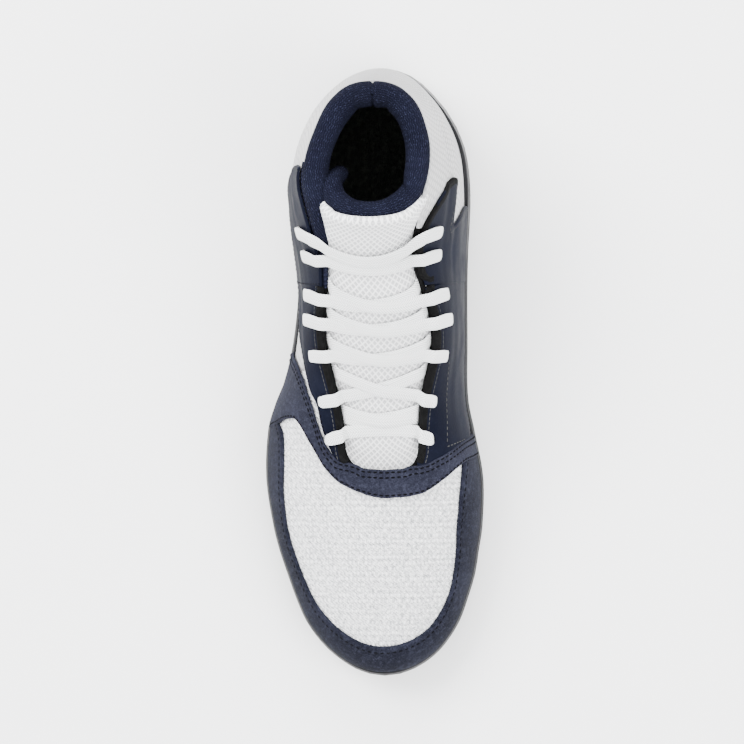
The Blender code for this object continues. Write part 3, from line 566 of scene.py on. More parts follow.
def smoothPath(points, count):   # even walk on a smooth curve through given points
    points = np.asarray(points, float)
    keys = runLength(points, 0)
    slopes = np.gradient(points, keys, axis=0)
    fine = readCurve(keys, points, slopes, np.linspace(0, keys[-1], count * 4))
    runs = runLength(fine, 0)
    even = np.linspace(0, runs[-1], count)
    return np.stack([np.interp(even, runs, fine[:, k]) for k in range(points.shape[1])], -1)


# Knit shell: outer face with its mesh, inner face in dark lining
shellGrid = {
    "around": 480, "rows": 84, "innerRows": 26, "medialSeam": 0.41, "lateralSeam": 0.50,
    "boundRise": 0.965, "boundAlong": 0.755,   # where the rim shows its tape
    "liningAlong": (-0.85, -0.66),             # where it shows the lining instead, over the outer flap
    "clothRun": 340, "clothRise": 112,         # walls unrolled, in millimetres
}


def clothPlace(along, rise, point):   # flat map in millimetres: from above at the vamp, unrolled behind
    vamp = (along < shellGrid["medialSeam"]) & (along > -shellGrid["lateralSeam"])
    u = np.where(vamp, point[..., 0] / mm, toTurn(along) * shellGrid["clothRun"])
    v = np.where(vamp, point[..., 1] / mm, rise * shellGrid["clothRise"])
    return np.stack([u, v], -1), vamp


def makeUpper():
    count = shellGrid["around"]
    turn = -1 + 2 * np.arange(count) / count
    rise = np.linspace(0, 1, shellGrid["rows"]) ** 0.95
    innerRise = np.linspace(1, 0, shellGrid["innerRows"])
    along = toAlong(turn)[None, :]
    outer = skin(along, rise[:, None])
    inner = skin(along, innerRise[:, None], -shoe["knitWall"])
    middle = skin(along, np.array([[1.004]]), -shoe["knitWall"] / 2)
    points = np.concatenate([outer, middle, inner]).reshape(-1, 3)
    rises = np.concatenate([rise, [1.0], innerRise])
    grid = points.reshape(len(rises), count, 3)
    alongGrid = np.broadcast_to(along, grid.shape[:2])
    uv, vamp = clothPlace(alongGrid, rises[:, None], grid)
    faces = gridFaces(len(rises), count, closed=True)
    last = (len(rises) - 1) * count
    c = np.arange(count)
    foot = np.stack([last + c, last + (c + 1) % count, (c + 1) % count, c], -1)
    faces = np.concatenate([faces, foot])
    row = faces[:, 0] // count
    slots = np.where(vamp.reshape(-1)[faces[:, 0]], 0, 1)
    slots = np.where(row >= len(rise), 2, slots)
    place = alongGrid.reshape(-1)[faces[:, 0]]
    edge = rises[row] > shellGrid["boundRise"]
    slots = np.where(edge & (np.abs(place) < shellGrid["boundAlong"]), 3, slots)
    low, high = shellGrid["liningAlong"]
    slots = np.where(edge & (place < high) & (place > low), 2, slots)
    finishes = ["vampKnit", "quarterKnit", "lining", "binding"]
    return makeMesh("knitShell", points, faces, uv.reshape(-1, 2), finishes, slots)


# Overlays: sheets laid on the shell between two edges in (place along, rise)
guardTop = [
    (-0.425, 0.30), (-0.389, 0.445), (-0.343, 0.458), (-0.278, 0.405), (-0.217, 0.368),
    (-0.161, 0.358), (-0.103, 0.365), (0.000, 0.383), (0.078, 0.388), (0.118, 0.408),
    (0.164, 0.465), (0.233, 0.522), (0.296, 0.525), (0.343, 0.482), (0.368, 0.30),
]
saddleFront = [
    (-0.405, 0.08), (-0.412, 0.34), (-0.420, 0.50), (-0.416, 0.600), (-0.362, 0.728), (-0.299, 0.810),
    (-0.201, 0.870), (-0.110, 0.896), (-0.040, 0.909), (0.000, 0.914), (0.030, 0.906), (0.080, 0.887),
    (0.156, 0.850), (0.225, 0.797), (0.285, 0.705), (0.336, 0.515), (0.356, 0.30), (0.362, 0.08),
]
saddleBack = [
    (-0.535, 0.08), (-0.528, 0.36), (-0.500, 0.58), (-0.466, 0.695), (-0.436, 0.757),
    (-0.395, 0.800), (-0.345, 0.850), (-0.290, 0.93), (-0.250, 0.995), (-0.120, 1.006), (0.000, 1.006),
    (0.120, 1.006), (0.225, 0.995), (0.275, 0.925), (0.336, 0.729), (0.375, 0.52), (0.392, 0.30),
    (0.398, 0.08),
]
stayEdge = [(0.255, 0.988), (0.655, 0.988)]
stayOutside = {
    "medial": [
        (0.235, 0.945), (0.285, 0.82), (0.330, 0.64), (0.360, 0.42), (0.395, 0.24),
        (0.460, 0.13), (0.560, 0.10), (0.664, 0.10),
    ],
    "lateral": [
        (-0.250, 0.955), (-0.345, 0.865), (-0.400, 0.818), (-0.435, 0.800), (-0.470, 0.724),
        (-0.515, 0.65), (-0.570, 0.54), (-0.664, 0.45),
    ],
}
flapFront = {
    "medial": [(0.660, 0.985), (0.652, 0.75), (0.648, 0.45), (0.648, 0.10)],
    "lateral": [(-0.658, 0.985), (-0.650, 0.80), (-0.646, 0.60), (-0.645, 0.455)],
}
flapBack = {
    "medial": [
        (0.750, 0.985), (0.770, 0.93), (0.790, 0.862), (0.806, 0.790), (0.817, 0.705),
        (0.811, 0.648), (0.792, 0.662), (0.766, 0.695), (0.744, 0.702), (0.744, 0.625), (0.758, 0.50),
        (0.772, 0.34), (0.775, 0.10),
    ],
    "lateral": [
        (-0.840, 0.985), (-0.842, 0.92), (-0.835, 0.82), (-0.818, 0.71), (-0.785, 0.61),
        (-0.745, 0.53), (-0.705, 0.48), (-0.675, 0.452),
    ],
}
bindings = {   # edges with a folded textile tape
    "stayMedial": [
        (0.262, 0.985), (0.320, 0.992), (0.450, 0.992), (0.600, 0.992), (0.648, 0.992), (0.656, 0.955),
        (0.657, 0.90),
    ],
    "stayLateral": [(-0.262, 0.985), (-0.330, 0.992), (-0.450, 0.992), (-0.600, 0.992), (-0.658, 0.992)],
    "flapMedial": [
        (0.663, 0.90), (0.664, 0.955), (0.672, 0.992), (0.710, 0.992), (0.745, 0.988), (0.770, 0.930),
        (0.790, 0.849), (0.809, 0.769), (0.818, 0.690), (0.812, 0.625),
    ],
}
binding = {
    "width": 2.9 * mm, "beyond": 0.5 * mm, "lower": 0.3 * mm, "thick": 1.9 * mm, "wobble": 0.28 * mm,
    "steps": 260, "across": 9,
    "side": {"stayMedial": -1, "stayLateral": 1, "flapMedial": -1},   # the way from the edge
}
sideStitches = [
    [(0.520, 0.712), (0.485, 0.685), (0.447, 0.664), (0.400, 0.672), (0.366, 0.690)],
    [(0.357, 0.70), (0.372, 0.58), (0.386, 0.42)],
]
bandRows = [   # top of the outsole's side wall: share of the length, 0 low to 1 high
    (0.000, 0.35), (0.080, 0.12), (0.250, 0.00), (0.500, 0.05), (0.660, 0.20),
    (0.780, 0.90), (0.880, 1.00), (1.000, 0.80),
]
sole = {"low": 12.5 * mm, "high": 26 * mm, "clear": 0.64 * mm}
sheet = {   # leather and suede overlays: off the shell, thickness, rounding of the edge
    "lower": 0.4 * mm, "saddleLower": 1.0 * mm, "flapLower": 0.6 * mm, "thick": 1.3 * mm, "roll": 0.8 * mm,
}
threads = {   # spacing, length and width of a stitch
    "guard": (3.0 * mm, 2.1 * mm, 0.36 * mm), "saddle": (2.8 * mm, 2.0 * mm, 0.38 * mm),
    "stay": (2.6 * mm, 1.7 * mm, 0.26 * mm), "flap": (2.6 * mm, 1.7 * mm, 0.24 * mm),
    "side": (2.8 * mm, 1.8 * mm, 0.26 * mm), "tape": (2.3 * mm, 2.1 * mm, 0.20 * mm),
}


def riseAtHeight(along, height):
    low, high = np.zeros_like(along), np.ones_like(along)
    for _ in range(18):
        middle = (low + high) / 2
        below = lastPoint(along, middle)[..., 2] < height
        low, high = np.where(below, middle, low), np.where(below, high, middle)
    return (low + high) / 2


def bandTop(along):
    return sole["low"] + (sole["high"] - sole["low"]) * readRows(bandRows, 1, along) + toeLift(along)


def mirrored(edge):
    return [(-along, rise) for along, rise in edge]


def smoothEdge(corners, count):   # even walk in (turn, rise), with turn stretched to real size
    corners = np.array(corners, float)
    path = smoothPath(np.stack([toTurn(corners[:, 0]) * 3, corners[:, 1]], -1), count)
    return path[:, 0] / 3, path[:, 1]


def panelGrid(first, second, across, count):
    firstTurn, firstRise = smoothEdge(first, count)
    secondTurn, secondRise = smoothEdge(second, count)
    t = np.linspace(0, 1, across)
    t = (t - 0.35 * np.sin(tau * t) / tau)[None, :]
    turn = firstTurn[:, None] * (1 - t) + secondTurn[:, None] * t
    rise = firstRise[:, None] * (1 - t) + secondRise[:, None] * t
    along = toAlong(turn)
    return along, np.maximum(rise, riseAtHeight(along, bandTop(along) + sole["clear"]))


def roundedEdge(edge, roll):   # 0 at the edge to 1 at the roll's depth
    return np.sqrt(np.clip(1 - (1 - np.clip(edge / roll, 0, 1)) ** 2, 0, 1))


def overlay(name, first, second, across, count, finish, lower=sheet["lower"], roll=sheet["roll"]):
    along, rise = panelGrid(first, second, across, count)
    inner = skin(along, rise, lower)
    runA, runB = runLength(inner, 0), runLength(inner, 1)
    edge = np.minimum(np.minimum(runA, runA[-1:] - runA), np.minimum(runB, runB[:, -1:] - runB))
    outer = skin(along, rise, lower + sheet["thick"] * (0.25 + 0.75 * roundedEdge(edge, roll)))
    uv = np.stack([runA, runB], -1) / mm
    return slab(name, outer, inner, uv, [finish]), (along, rise, outer)


def insetRow(grid, depth, fromEnd=False):   # line in a panel at a depth from one long edge
    along, rise, outer = grid
    run = runLength(outer, 1)
    if fromEnd:
        run = run[:, -1:] - run
        run, along, rise = run[:, ::-1], along[:, ::-1], rise[:, ::-1]
    turn = toTurn(along)
    places = [(np.interp(depth, run[i], turn[i]), np.interp(depth, run[i], rise[i])) for i in range(len(run))]
    return np.array(places)


def sideways(line):   # step in (turn, rise) that moves a line over the shell by its own unit normal
    turn, rise = line[:, 0], line[:, 1]
    step = 0.004
    place = lastPoint(toAlong(turn), rise)
    around = (lastPoint(toAlong(turn + step), rise) - lastPoint(toAlong(turn - step), rise)) / (2 * step)
    upward = (place - lastPoint(toAlong(turn), rise - step)) / step
    way = unit(np.cross(np.cross(around, upward), np.gradient(place, axis=0)))
    aa, ab, bb = ((p * q).sum(1) for p, q in ((around, around), (around, upward), (upward, upward)))
    da, db = (around * way).sum(1), (upward * way).sum(1)
    return np.stack([da * bb - db * ab, db * aa - da * ab], 1) / (aa * bb - ab * ab)[:, None]


def edging(name, corners, turned):   # textile tape folded over an edge, slightly uneven
    line = np.stack(smoothEdge(corners, binding["steps"]), 1)
    step = sideways(line) * turned
    run = runLength(lastPoint(toAlong(line[:, 0]), line[:, 1]), 0)
    uneven = binding["wobble"] * np.sin(run / (3.1 * mm)) * np.sin(run / (7.3 * mm) + 1)
    t = np.linspace(0, 1, binding["across"])[None, :]
    offset = -binding["beyond"] + uneven[:, None] * (1 - t) + (binding["width"] + binding["beyond"]) * t
    turn = line[:, :1] + step[:, :1] * offset
    rise = line[:, 1:] + step[:, 1:] * offset
    swell = 0.35 + 0.65 * np.sqrt(1 - np.abs(2 * t - 1) ** 4)
    inner = skin(toAlong(turn), rise, binding["lower"])
    outer = skin(toAlong(turn), rise, binding["lower"] + binding["thick"] * swell)
    uv = np.stack(np.broadcast_arrays(run[:, None], offset), -1) / mm
    thread = np.stack([turn[:, -1], rise[:, -1]], 1) + step * 0.6 * mm
    return slab(name, outer, inner, uv, ["binding"]), thread


def stitchRow(line, height, spacing, length, width):   # capsules along a line of (turn, rise)
    points = skin(toAlong(line[:, 0]), line[:, 1], height)
    runs = runLength(points, 0)
    count = max(int(runs[-1] / spacing), 2)
    at = (np.arange(count) + 0.5) * runs[-1] / count
    made = []
    for place in at:
        ends = [np.interp(place + s * length / 2, runs, line[:, k]) for s in (-1, 1) for k in (0, 1)]
        pair = skin(toAlong(np.array([ends[0], ends[2]])), np.array([ends[1], ends[3]]), height)
        low = skin(toAlong(np.array([ends[0]])), np.array([ends[1]]), height - 1 * mm)[0]
        made.append((pair[0], pair[1], pair[0] - low, width))
    return made


def makeStitches(name, rows, finish):
    ringShare = np.array([0.0, 0.12, 0.35, 0.65, 0.88, 1.0])
    ringSize = np.array([0.25, 0.75, 1.0, 1.0, 0.75, 0.25])
    sides = 6
    angle = tau * np.arange(sides) / sides
    points, faces, uv = [], [], []
    for start, end, up, width in (stitch for row in rows for stitch in row):
        way, up = end - start, unit(up)
        beside = unit(np.cross(way, up))
        first = len(points) * sides
        for share, size in zip(ringShare, ringSize):
            middle = start + way * share + up * width * (size - 1) * 0.6
            ring = beside[None] * np.cos(angle)[:, None] + up[None] * np.sin(angle)[:, None] * 0.7
            points.append(middle + ring * width * size)
            uv.append(np.stack([angle, np.full(sides, share * 2)], -1))
        faces.append(gridFaces(len(ringShare), sides, first, closed=True))
        for ring, flip in ((first, True), (first + (len(ringShare) - 1) * sides, False)):
            cap = np.array([[0, 1, 2, 5], [2, 3, 4, 5]]) + ring
            faces.append(cap[:, ::-1] if flip else cap)
    return makeMesh(name, np.concatenate(points), np.concatenate(faces), np.concatenate(uv), [finish])


pieces = {}


def makeOverlays():
    ends = [(guardTop[0][0], 0.0), (0.0, 0.0), (guardTop[-1][0], 0.0)]
    guard, guardGrid = overlay("toeGuard", ends, guardTop, 26, 260, "suede", roll=1.0 * mm)
    lower = sheet["saddleLower"]
    saddle, saddleGrid = overlay("vampSaddle", saddleFront, saddleBack, 40, 300, "nubuck", lower)
    pieces["toe_guard"], pieces["vamp_saddle"] = guard, saddle
    top = sheet["lower"] + sheet["thick"]
    navyRows = [stitchRow(insetRow(guardGrid, 3.6 * mm, True), top, *threads["guard"])]
    for depth, fromEnd in ((1.9 * mm, False), (1.9 * mm, True), (4.4 * mm, True)):
        navyRows.append(stitchRow(insetRow(saddleGrid, depth, fromEnd), top + 0.7 * mm, *threads["saddle"]))
    greyRows = []
    for side, sign in (("medial", 1), ("lateral", -1)):
        edge = stayEdge if sign > 0 else mirrored(stayEdge)
        stay, stayGrid = overlay("eyestay" + side.title(), stayOutside[side], edge, 60, 170, "leather")
        rims, lower = (flapFront[side], flapBack[side]), sheet["flapLower"]
        flap, flapGrid = overlay("flap" + side.title(), *rims, 60, 90, "leather", lower)
        pieces["eyestay_" + side], pieces["flap_" + side] = stay, flap
        navyRows.append(stitchRow(insetRow(stayGrid, 1.8 * mm), top, *threads["stay"]))
        if sign < 0:
            navyRows.append(stitchRow(insetRow(flapGrid, 2.2 * mm), top + 0.2 * mm, *threads["stay"]))
        greyRows.append(stitchRow(insetRow(flapGrid, 2.4 * mm, True), top + 0.2 * mm, *threads["flap"]))
    for corners in sideStitches:
        line = np.stack(smoothEdge(corners, 60), 1)
        greyRows.append(stitchRow(line, top + 0.1 * mm, *threads["side"]))
    for name, corners in bindings.items():
        tape, thread = edging(name[:4] + "Binding" + name[4:], corners, binding["side"][name])
        pieces["binding" + name.title()] = tape
        greyRows.append(stitchRow(thread, top, *threads["tape"]))
    pieces["stitchesNavy"] = makeStitches("stitchesNavy", navyRows, "threadNavy")
    pieces["stitchesGrey"] = makeStitches("stitchesGrey", greyRows, "threadGrey")
    print("overlays and stitches made")


soleBand = {
    "steps": [   # share of the height, millimetres out of the outline
        (0.0, -1.2), (0.0, 0.10), (0.05, 0.32), (0.20, 0.34), (0.37, 0.34), (0.41, 0.40), (0.46, 0.84),
        (0.50, 0.88), (0.72, 0.88), (0.76, 0.84), (0.81, 0.40), (0.85, 0.34), (0.94, 0.10), (0.99, -0.25),
        (1.0, -0.7), (0.97, -1.4),
    ],
    "around": 480, "low": 2.3 * mm, "heelBevel": 3.0 * mm, "heelRun": 18 * mm,
}


def makeSoleBand():
    count = soleBand["around"]
    along = toAlong(-1 + 2 * np.arange(count) / count)
    lift = np.clip(1 - (1 - np.abs(along)) * shoe["length"] / soleBand["heelRun"], 0, 1) ** 2
    low = toeLift(along) + soleBand["low"] + soleBand["heelBevel"] * lift
    high = bandTop(along) + 0.15 * mm
    foot, outward = outlinePoint(along), outlineNormal(along)
    rows = []
    for up, out in soleBand["steps"]:
        row = foot + outward * out * mm
        row[:, 2] = low + (high - low) * up
        rows.append(row)
    rows.append(rows[0])
    points = np.array(rows)
    uv = np.zeros((points.shape[0] * count, 2))
    faces = gridFaces(len(rows), count, closed=True)
    pieces["soleBand"] = makeMesh("soleBand", points.reshape(-1, 3), faces, uv, ["rubber"])
    print("sole band made")


# Tongue: crowned between the eyestays, with its edges under them
tongue = {
    "under": 3.4 * mm, "rise": 0.90, "fullness": 0.30, "lean": 0.35, "pad": 5.0 * mm, "roll": 3 * mm,
    "nose": [(0.20, 0.900), (0.24, 0.955), (0.275, 1.006)],
    "rows": [0.32, 0.36, 0.41, 0.46, 0.52, 0.58, 0.64, 0.69, 0.735],
    "top": [(8.5 * mm, 5.5 * mm, 1.03, 1.0 * mm, 4.0 * mm), (15.5 * mm, 8.5 * mm, 1.11, 2.0 * mm, 11.5 * mm)],
    "columns": 12,
}


def archCurve(along):
    ahead = lastPoint(along + 0.02, 1.0) - lastPoint(along - 0.02, 1.0)
    lean = unit(np.array([0.0, -ahead[2], ahead[1]])) * tongue["lean"]
    sides = []
    for place in (-along, along):
        rises = np.array([tongue["rise"], (tongue["rise"] + 1) / 2, 1.0])
        edge = skin(np.full(3, place), rises, -tongue["under"])
        sides.append((edge, unit(edge[2] - edge[1]) * (1 - tongue["lean"]) + lean))
    (left, leftWay), (right, rightWay) = sides
    reach = np.linalg.norm(right[2] - left[2]) * tongue["fullness"]
    return left, right, (left[2], left[2] + leftWay * reach, right[2] + rightWay * reach, right[2])


def onArch(controls, t):
    a, b, c, d = controls
    return a * (1 - t) ** 3 + b * (3 * t * (1 - t) ** 2) + c * (3 * t * t * (1 - t)) + d * t**3


def tongueRows():
    rows = []
    for limit, top in tongue["nose"]:
        t = np.arange(tongue["columns"] + 1) / tongue["columns"]
        along = toAlong(toTurn(limit) * (2 * t - 1))
        rise = tongue["rise"] + (top - tongue["rise"]) * (1 - np.abs(2 * t - 1) ** 4)
        rows.append(skin(along, rise, -tongue["under"]))
    spans = tongue["columns"] - 4
    for along in tongue["rows"]:
        left, right, controls = archCurve(along)
        arch = [onArch(controls, c / spans) for c in range(spans + 1)]
        rows.append(np.array([left[0], left[1]] + arch + [right[1], right[0]]))
    last = rows[-1]
    middle = np.array([(last[0, 0] + last[-1, 0]) / 2, 0, 0])
    side = np.linspace(-1, 1, len(last)) ** 2
    for up, back, width, over, curl in tongue["top"]:
        bend = np.stack([0 * side, curl * side, -0.1 * curl * side], 1)
        rows.append((last - middle) * [width, 1, 1] + middle + [over, back, up] + bend)
    return np.array(rows)


def refineGrid(grid, rows, columns):   # smooth finer grid through a coarse one
    lengthwise = np.stack([smoothPath(grid[:, c], rows) for c in range(grid.shape[1])], 1)
    return np.stack([smoothPath(lengthwise[r], columns) for r in range(rows)], 0)


def makeTongue():
    grid = refineGrid(tongueRows(), 200, 90)
    normal = unit(np.cross(np.gradient(grid, axis=1), np.gradient(grid, axis=0)))
    runA, runB = runLength(grid, 0), runLength(grid, 1)
    edge = np.minimum(runA[-1:] - runA, np.minimum(runB, runB[:, -1:] - runB))
    sink = (1 - roundedEdge(edge, tongue["roll"])) * 0.42 * tongue["pad"]
    outer = grid - normal * sink[..., None]
    inner = grid - normal * (tongue["pad"] - sink)[..., None]
    uv = np.stack([runB - runB[:, -1:] / 2, runA], -1) / mm
    body = slab("tonguePad", outer, inner, uv, ["tongueNet"])
    pieces["tongue"] = body
    pieces["tongueTrim"] = makeTongueRoll()
    print("tongue made")


tongueRoll = {   # middle of the roll: x, y and height in mm, half width, half height
    "path": [
        (21.5, 87.5, 114.0, 4.0, 3.5), (20.3, 82.0, 121.5, 5.6, 4.5), (16.0, 76.8, 127.4, 6.0, 5.4),
        (9.0, 73.9, 129.3, 5.0, 5.6), (0.0, 73.0, 129.8, 4.7, 5.6), (-8.0, 74.6, 129.3, 4.9, 5.5),
        (-14.0, 79.2, 127.8, 5.2, 5.0), (-16.2, 85.5, 124.5, 5.2, 4.6), (-13.8, 90.0, 117.0, 4.6, 4.2),
        (-11.5, 91.5, 106.0, 3.2, 3.0),
    ],
    "rings": 150, "sides": 28, "centre": (3 * mm, 100 * mm, 0),   # middle of the opening, from above
}


def squared(beside, ahead):   # unit ways made square to the path
    return unit(beside - ahead * (beside * ahead).sum(1, keepdims=True))


def makeTongueRoll():   # padded roll round the front of the opening
    rings, sides = tongueRoll["rings"], tongueRoll["sides"]
    path = smoothPath(np.array(tongueRoll["path"]), rings)
    middle, wide, high = path[:, :3] * mm, path[:, 3:4] * mm, path[:, 4:5] * mm
    ahead = unit(np.gradient(middle, axis=0))
    outward = unit((middle - np.array(tongueRoll["centre"])) * [1, 1, 0])
    beside = squared(np.cross(ahead, np.array([0.0, 0.0, 1.0])) * 0.2 + outward, ahead)
    up = np.cross(beside, ahead)
    angle = tau * np.arange(sides) / sides
    fade = np.clip(np.minimum(np.arange(rings), np.arange(rings)[::-1]) / 10, 0.15, 1) ** 0.5
    ring = beside[:, None] * (np.cos(angle)[None] * wide)[..., None]
    ring = ring + up[:, None] * (np.sin(angle)[None] * high)[..., None]
    points = middle[:, None] + ring * fade[:, None, None]
    uv = np.stack(np.broadcast_arrays(runLength(middle, 0)[:, None] / mm, angle[None] * 5), -1)
    faces = tubeFaces(rings, sides)
    piece = makeMesh("tongueRoll", points.reshape(-1, 3), faces, uv.reshape(-1, 2), ["lining"])
    return piece


# Collar: padded lining from the ankle up and rolled over the rim
collar = {
    "innerStart": 0.79, "outerStart": 0.705, "fullFrom": 0.80, "fuller": 0.10,   # fuller at the outer front
    "riseAMm": 0.009, "mmARise": 110, "middle": 6.2 * mm, "cloth": 2.8 * mm, "clothRun": 160,
    "folds": 0.45 * mm, "seam": 1.1 * mm,
    "profile": [   # rise, millimetres above the rim, millimetres in from the last
        (0.66, 0, 2.8), (0.80, 0, 2.8), (0.92, 0, 2.8), (0.99, 0, 2.7), (1.0, 0.7, 0.9), (1.0, 2.6, -0.1),
        (1.0, 4.7, 1.6), (1.0, 5.6, 5.2), (1.0, 4.9, 8.8), (1.0, 2.2, 11.4), (0.96, 0, 12.2), (0.86, 0, 11.8),
        (0.77, 0, 10.0), (0.70, 0, 7.0), (0.665, 0, 4.0),
    ],
}


def makeCollar():
    count, around = 300, 96
    profile = np.array([(rise + up * collar["riseAMm"], -depth) for rise, up, depth in collar["profile"]])
    scale = [collar["mmARise"], 1]
    path = smoothPath(np.concatenate([profile, profile[:1]]) * scale, around + 1)[:-1] / scale
    start, end = toTurn(collar["innerStart"]), 2 - toTurn(collar["outerStart"])
    turn = start + (end - start) * np.arange(count) / (count - 1)
    along = toAlong(wrapTurn(turn))[None, :]
    ends = np.clip(np.minimum(turn - start, end - turn) / 0.03, 0, 1)[None, :]
    full = 2 - toTurn(collar["fullFrom"])
    front = np.clip((turn - full) / (end - full), 0, 1)[None, :]
    size = (0.35 + 0.65 * np.sqrt(1 - (1 - ends) ** 2)) * (1 + collar["fuller"] * front)
    rise = path[:, :1] + 0 * turn[None, :]
    depth = path[:, 1:2] * mm
    middle = -collar["middle"]
    inside = np.clip((-depth - collar["cloth"]) / (4 * mm), 0, 1) * np.clip((rise - 0.70) / 0.1, 0, 1)
    fold = 0.5 * np.sin(turn * 61 + rise * 9) + 0.5 * np.sin(turn * 37 - rise * 14 + 1)
    pinch = np.exp(-(((turn[None, :] - 1) / 0.006) ** 2)) * np.clip((rise - 0.9) / 0.1, 0, 1)
    out = middle + (depth - middle) * size + inside * fold * collar["folds"]
    out = out - pinch * np.sign(out - middle) * collar["seam"]
    points = skin(along, rise, out)
    low, high = np.arange(count - 1), np.arange(1, count)
    last = (around - 1) * count
    faces = np.concatenate([gridFaces(around, count), np.stack([last + low, last + high, high, low], -1)])
    half = around // 2
    for column, flip in ((0, False), (count - 1, True)):
        low = np.arange(half)
        high = around - 1 - low
        cap = np.stack([low[:-1], low[1:], high[1:], high[:-1]], -1) * count + column
        faces = np.concatenate([faces, cap[:, ::-1] if flip else cap])
    uv = np.stack([np.broadcast_to(turn * collar["clothRun"], rise.shape), runLength(points, 0) / mm], -1)
    piece = makeMesh("collarPad", points.reshape(-1, 3), faces, uv.reshape(-1, 2), ["lining"])
    pieces["collar_lining"] = piece
    print("collar made")


# Lace: flat braid out of each eyelet, across the tongue and under the other side
lace = {
    "width": 6.5 * mm, "thick": 1.3 * mm, "hole": 4.5 * mm, "rings": 150, "sides": 20,
    "overTongue": 1.5 * mm, "overStay": 3.1, "overFlap": 3.7, "edge": 0.985, "crossed": 1.15,
    "tucked": [(0.985, -3.1), (0.93, -3.6)],   # rise and millimetres out of the hidden ends
    "rows": [0.360, 0.445, 0.530, 0.595, 0.638, 0.705, 0.745],
    "rises": [0.865, 0.840, 0.800, 0.745, 0.760, 0.810, 0.830],
    "ends": {1: 0.498, 2: 0.556, 3: 0.618, 4: 0.660}, "sags": {1: 0.001, 2: 0.0165, 3: 0.0145, 4: 0.0090},
    "under": (0.402, 0.418, 0.016),            # start, end and sag of the lowest pair
    "topSags": {5: 0.012, 6: 0.036},
}


def stayPoint(side, along, rise, out):
    return skin(np.array([side * along]), np.array([rise]), out)[0]


def stayWay(side, along, rise):
    return stayPoint(side, along + 0.01, rise, 0) - stayPoint(side, along - 0.01, rise, 0)


def archPoint(along, t, lift):
    controls = archCurve(along)[2]
    ahead = onArch(archCurve(along + 0.01)[2], t) - onArch(archCurve(along - 0.01)[2], t)
    beside = onArch(controls, t + 0.01) - onArch(controls, t - 0.01)
    return onArch(controls, t) + unit(np.cross(beside, ahead)) * lift, ahead


strandLengths = []


def ribbon(name, strand):   # flat braid through (point, sideways, share of the width)
    path, ways, widths = (np.array(k, float) for k in zip(*strand))
    count, sides = lace["rings"], lace["sides"]
    keys = runLength(path, 0)
    line = smoothPath(path, count)
    at = np.linspace(0, keys[-1], count)
    way = np.stack([np.interp(at, keys, ways[:, k]) for k in range(3)], -1)
    wide = np.interp(at, keys, widths * lace["width"])
    ahead = unit(np.gradient(line, axis=0))
    beside = squared(way, ahead)
    up = np.cross(ahead, beside)
    up *= np.sign(up[count // 2, 2])
    angle = tau * np.arange(sides) / sides
    across, high = np.cos(angle), np.sin(angle)
    across = np.sign(across) * np.abs(across) ** 0.55
    high = np.sign(high) * np.abs(high) ** 0.75
    ring = beside[:, None] * (across[None] * wide[:, None] / 2)[..., None]
    thick = lace["thick"] / 2 * (1 + 0.7 * (1 - wide / lace["width"]))
    points = line[:, None] + (ring + up[:, None] * (high[None] * thick[:, None])[..., None])
    run = runLength(line, 0)
    strandLengths.append(run[-1])
    uv = np.stack(np.broadcast_arrays(across[None] * lace["width"] / 2 / mm, run[:, None] / mm), -1)
    faces = tubeFaces(count, sides)
    return makeMesh(name, points.reshape(-1, 3), faces, uv.reshape(-1, 2), ["lace"])


def overStay(side, row):   # up through the eyelet and in over the eyestay
    start, rise = lace["rows"][row], lace["rises"][row]
    over = lace["overFlap"] if row > 4 else lace["overStay"]
    strand = []
    steps = ((-0.012, -4.0, 0.55), (-0.009, -1.0, 0.55), (0.0, over - 0.8, 0.66), (0.03, over + 0.3, 0.88))
    for up, out, wide in steps:
        strand.append((stayPoint(side, start, rise + up, out * mm), stayWay(side, start, rise), wide))
    span = lace["edge"] - (rise + 0.03)
    for share in (0.35, 0.68, 1.0):
        up = rise + 0.03 + span * share
        out = (over - 0.2 * share) * mm
        strand.append((stayPoint(side, start, up, out), stayWay(side, start, up), 1.0))
    return strand


def tuckedEnd(side, along):   # hidden end under an eyestay
    steps = lace["tucked"]
    return [(stayPoint(side, along, rise, out * mm), stayWay(side, along, rise), 1.0) for rise, out in steps]


def stepDown(share):   # from the eyestay down to the tongue
    return lace["overTongue"] + 1.6 * mm * max(0, 1 - share / 0.28) ** 1.6


def crossingPath(side, row, raised):   # from an eyelet over the tongue and under the other side
    strand = overStay(side, row)
    start, end, sag = lace["rows"][row], lace["ends"][row], lace["sags"][row]
    for share in np.linspace(0.10, 0.90, 11):
        along = start + (end - start) * share**1.9 - sag * math.sin(math.pi * share)
        lift = stepDown(share) + raised * math.exp(-(((share - 0.5) / 0.16) ** 2))
        strand.append((*archPoint(along, 1 - share if side > 0 else share, lift), 1.0))
    return strand + tuckedEnd(-side, end)


def barPath(row, sag, raised):   # across from eyelet to eyelet
    strand = overStay(-1, row)
    for share in np.linspace(0.08, 0.92, 13):
        along = lace["rows"][row] - sag * math.sin(math.pi * share) ** 0.8
        strand.append((*archPoint(along, share, stepDown(min(share, 1 - share)) + raised), 1.0))
    return strand + overStay(1, row)[::-1]


def underPath(side, raised):   # shows only between the two inner edges
    start, end, sag = lace["under"]
    strand = tuckedEnd(side, start)[::-1]
    for share in np.linspace(0.08, 0.92, 11):
        along = start + (end - start) * share - sag * math.sin(math.pi * share)
        lift = lace["overTongue"] + raised * math.exp(-(((share - 0.5) / 0.2) ** 2))
        strand.append((*archPoint(along, 1 - share if side > 0 else share, lift), 1.0))
    return strand + tuckedEnd(-side, end)


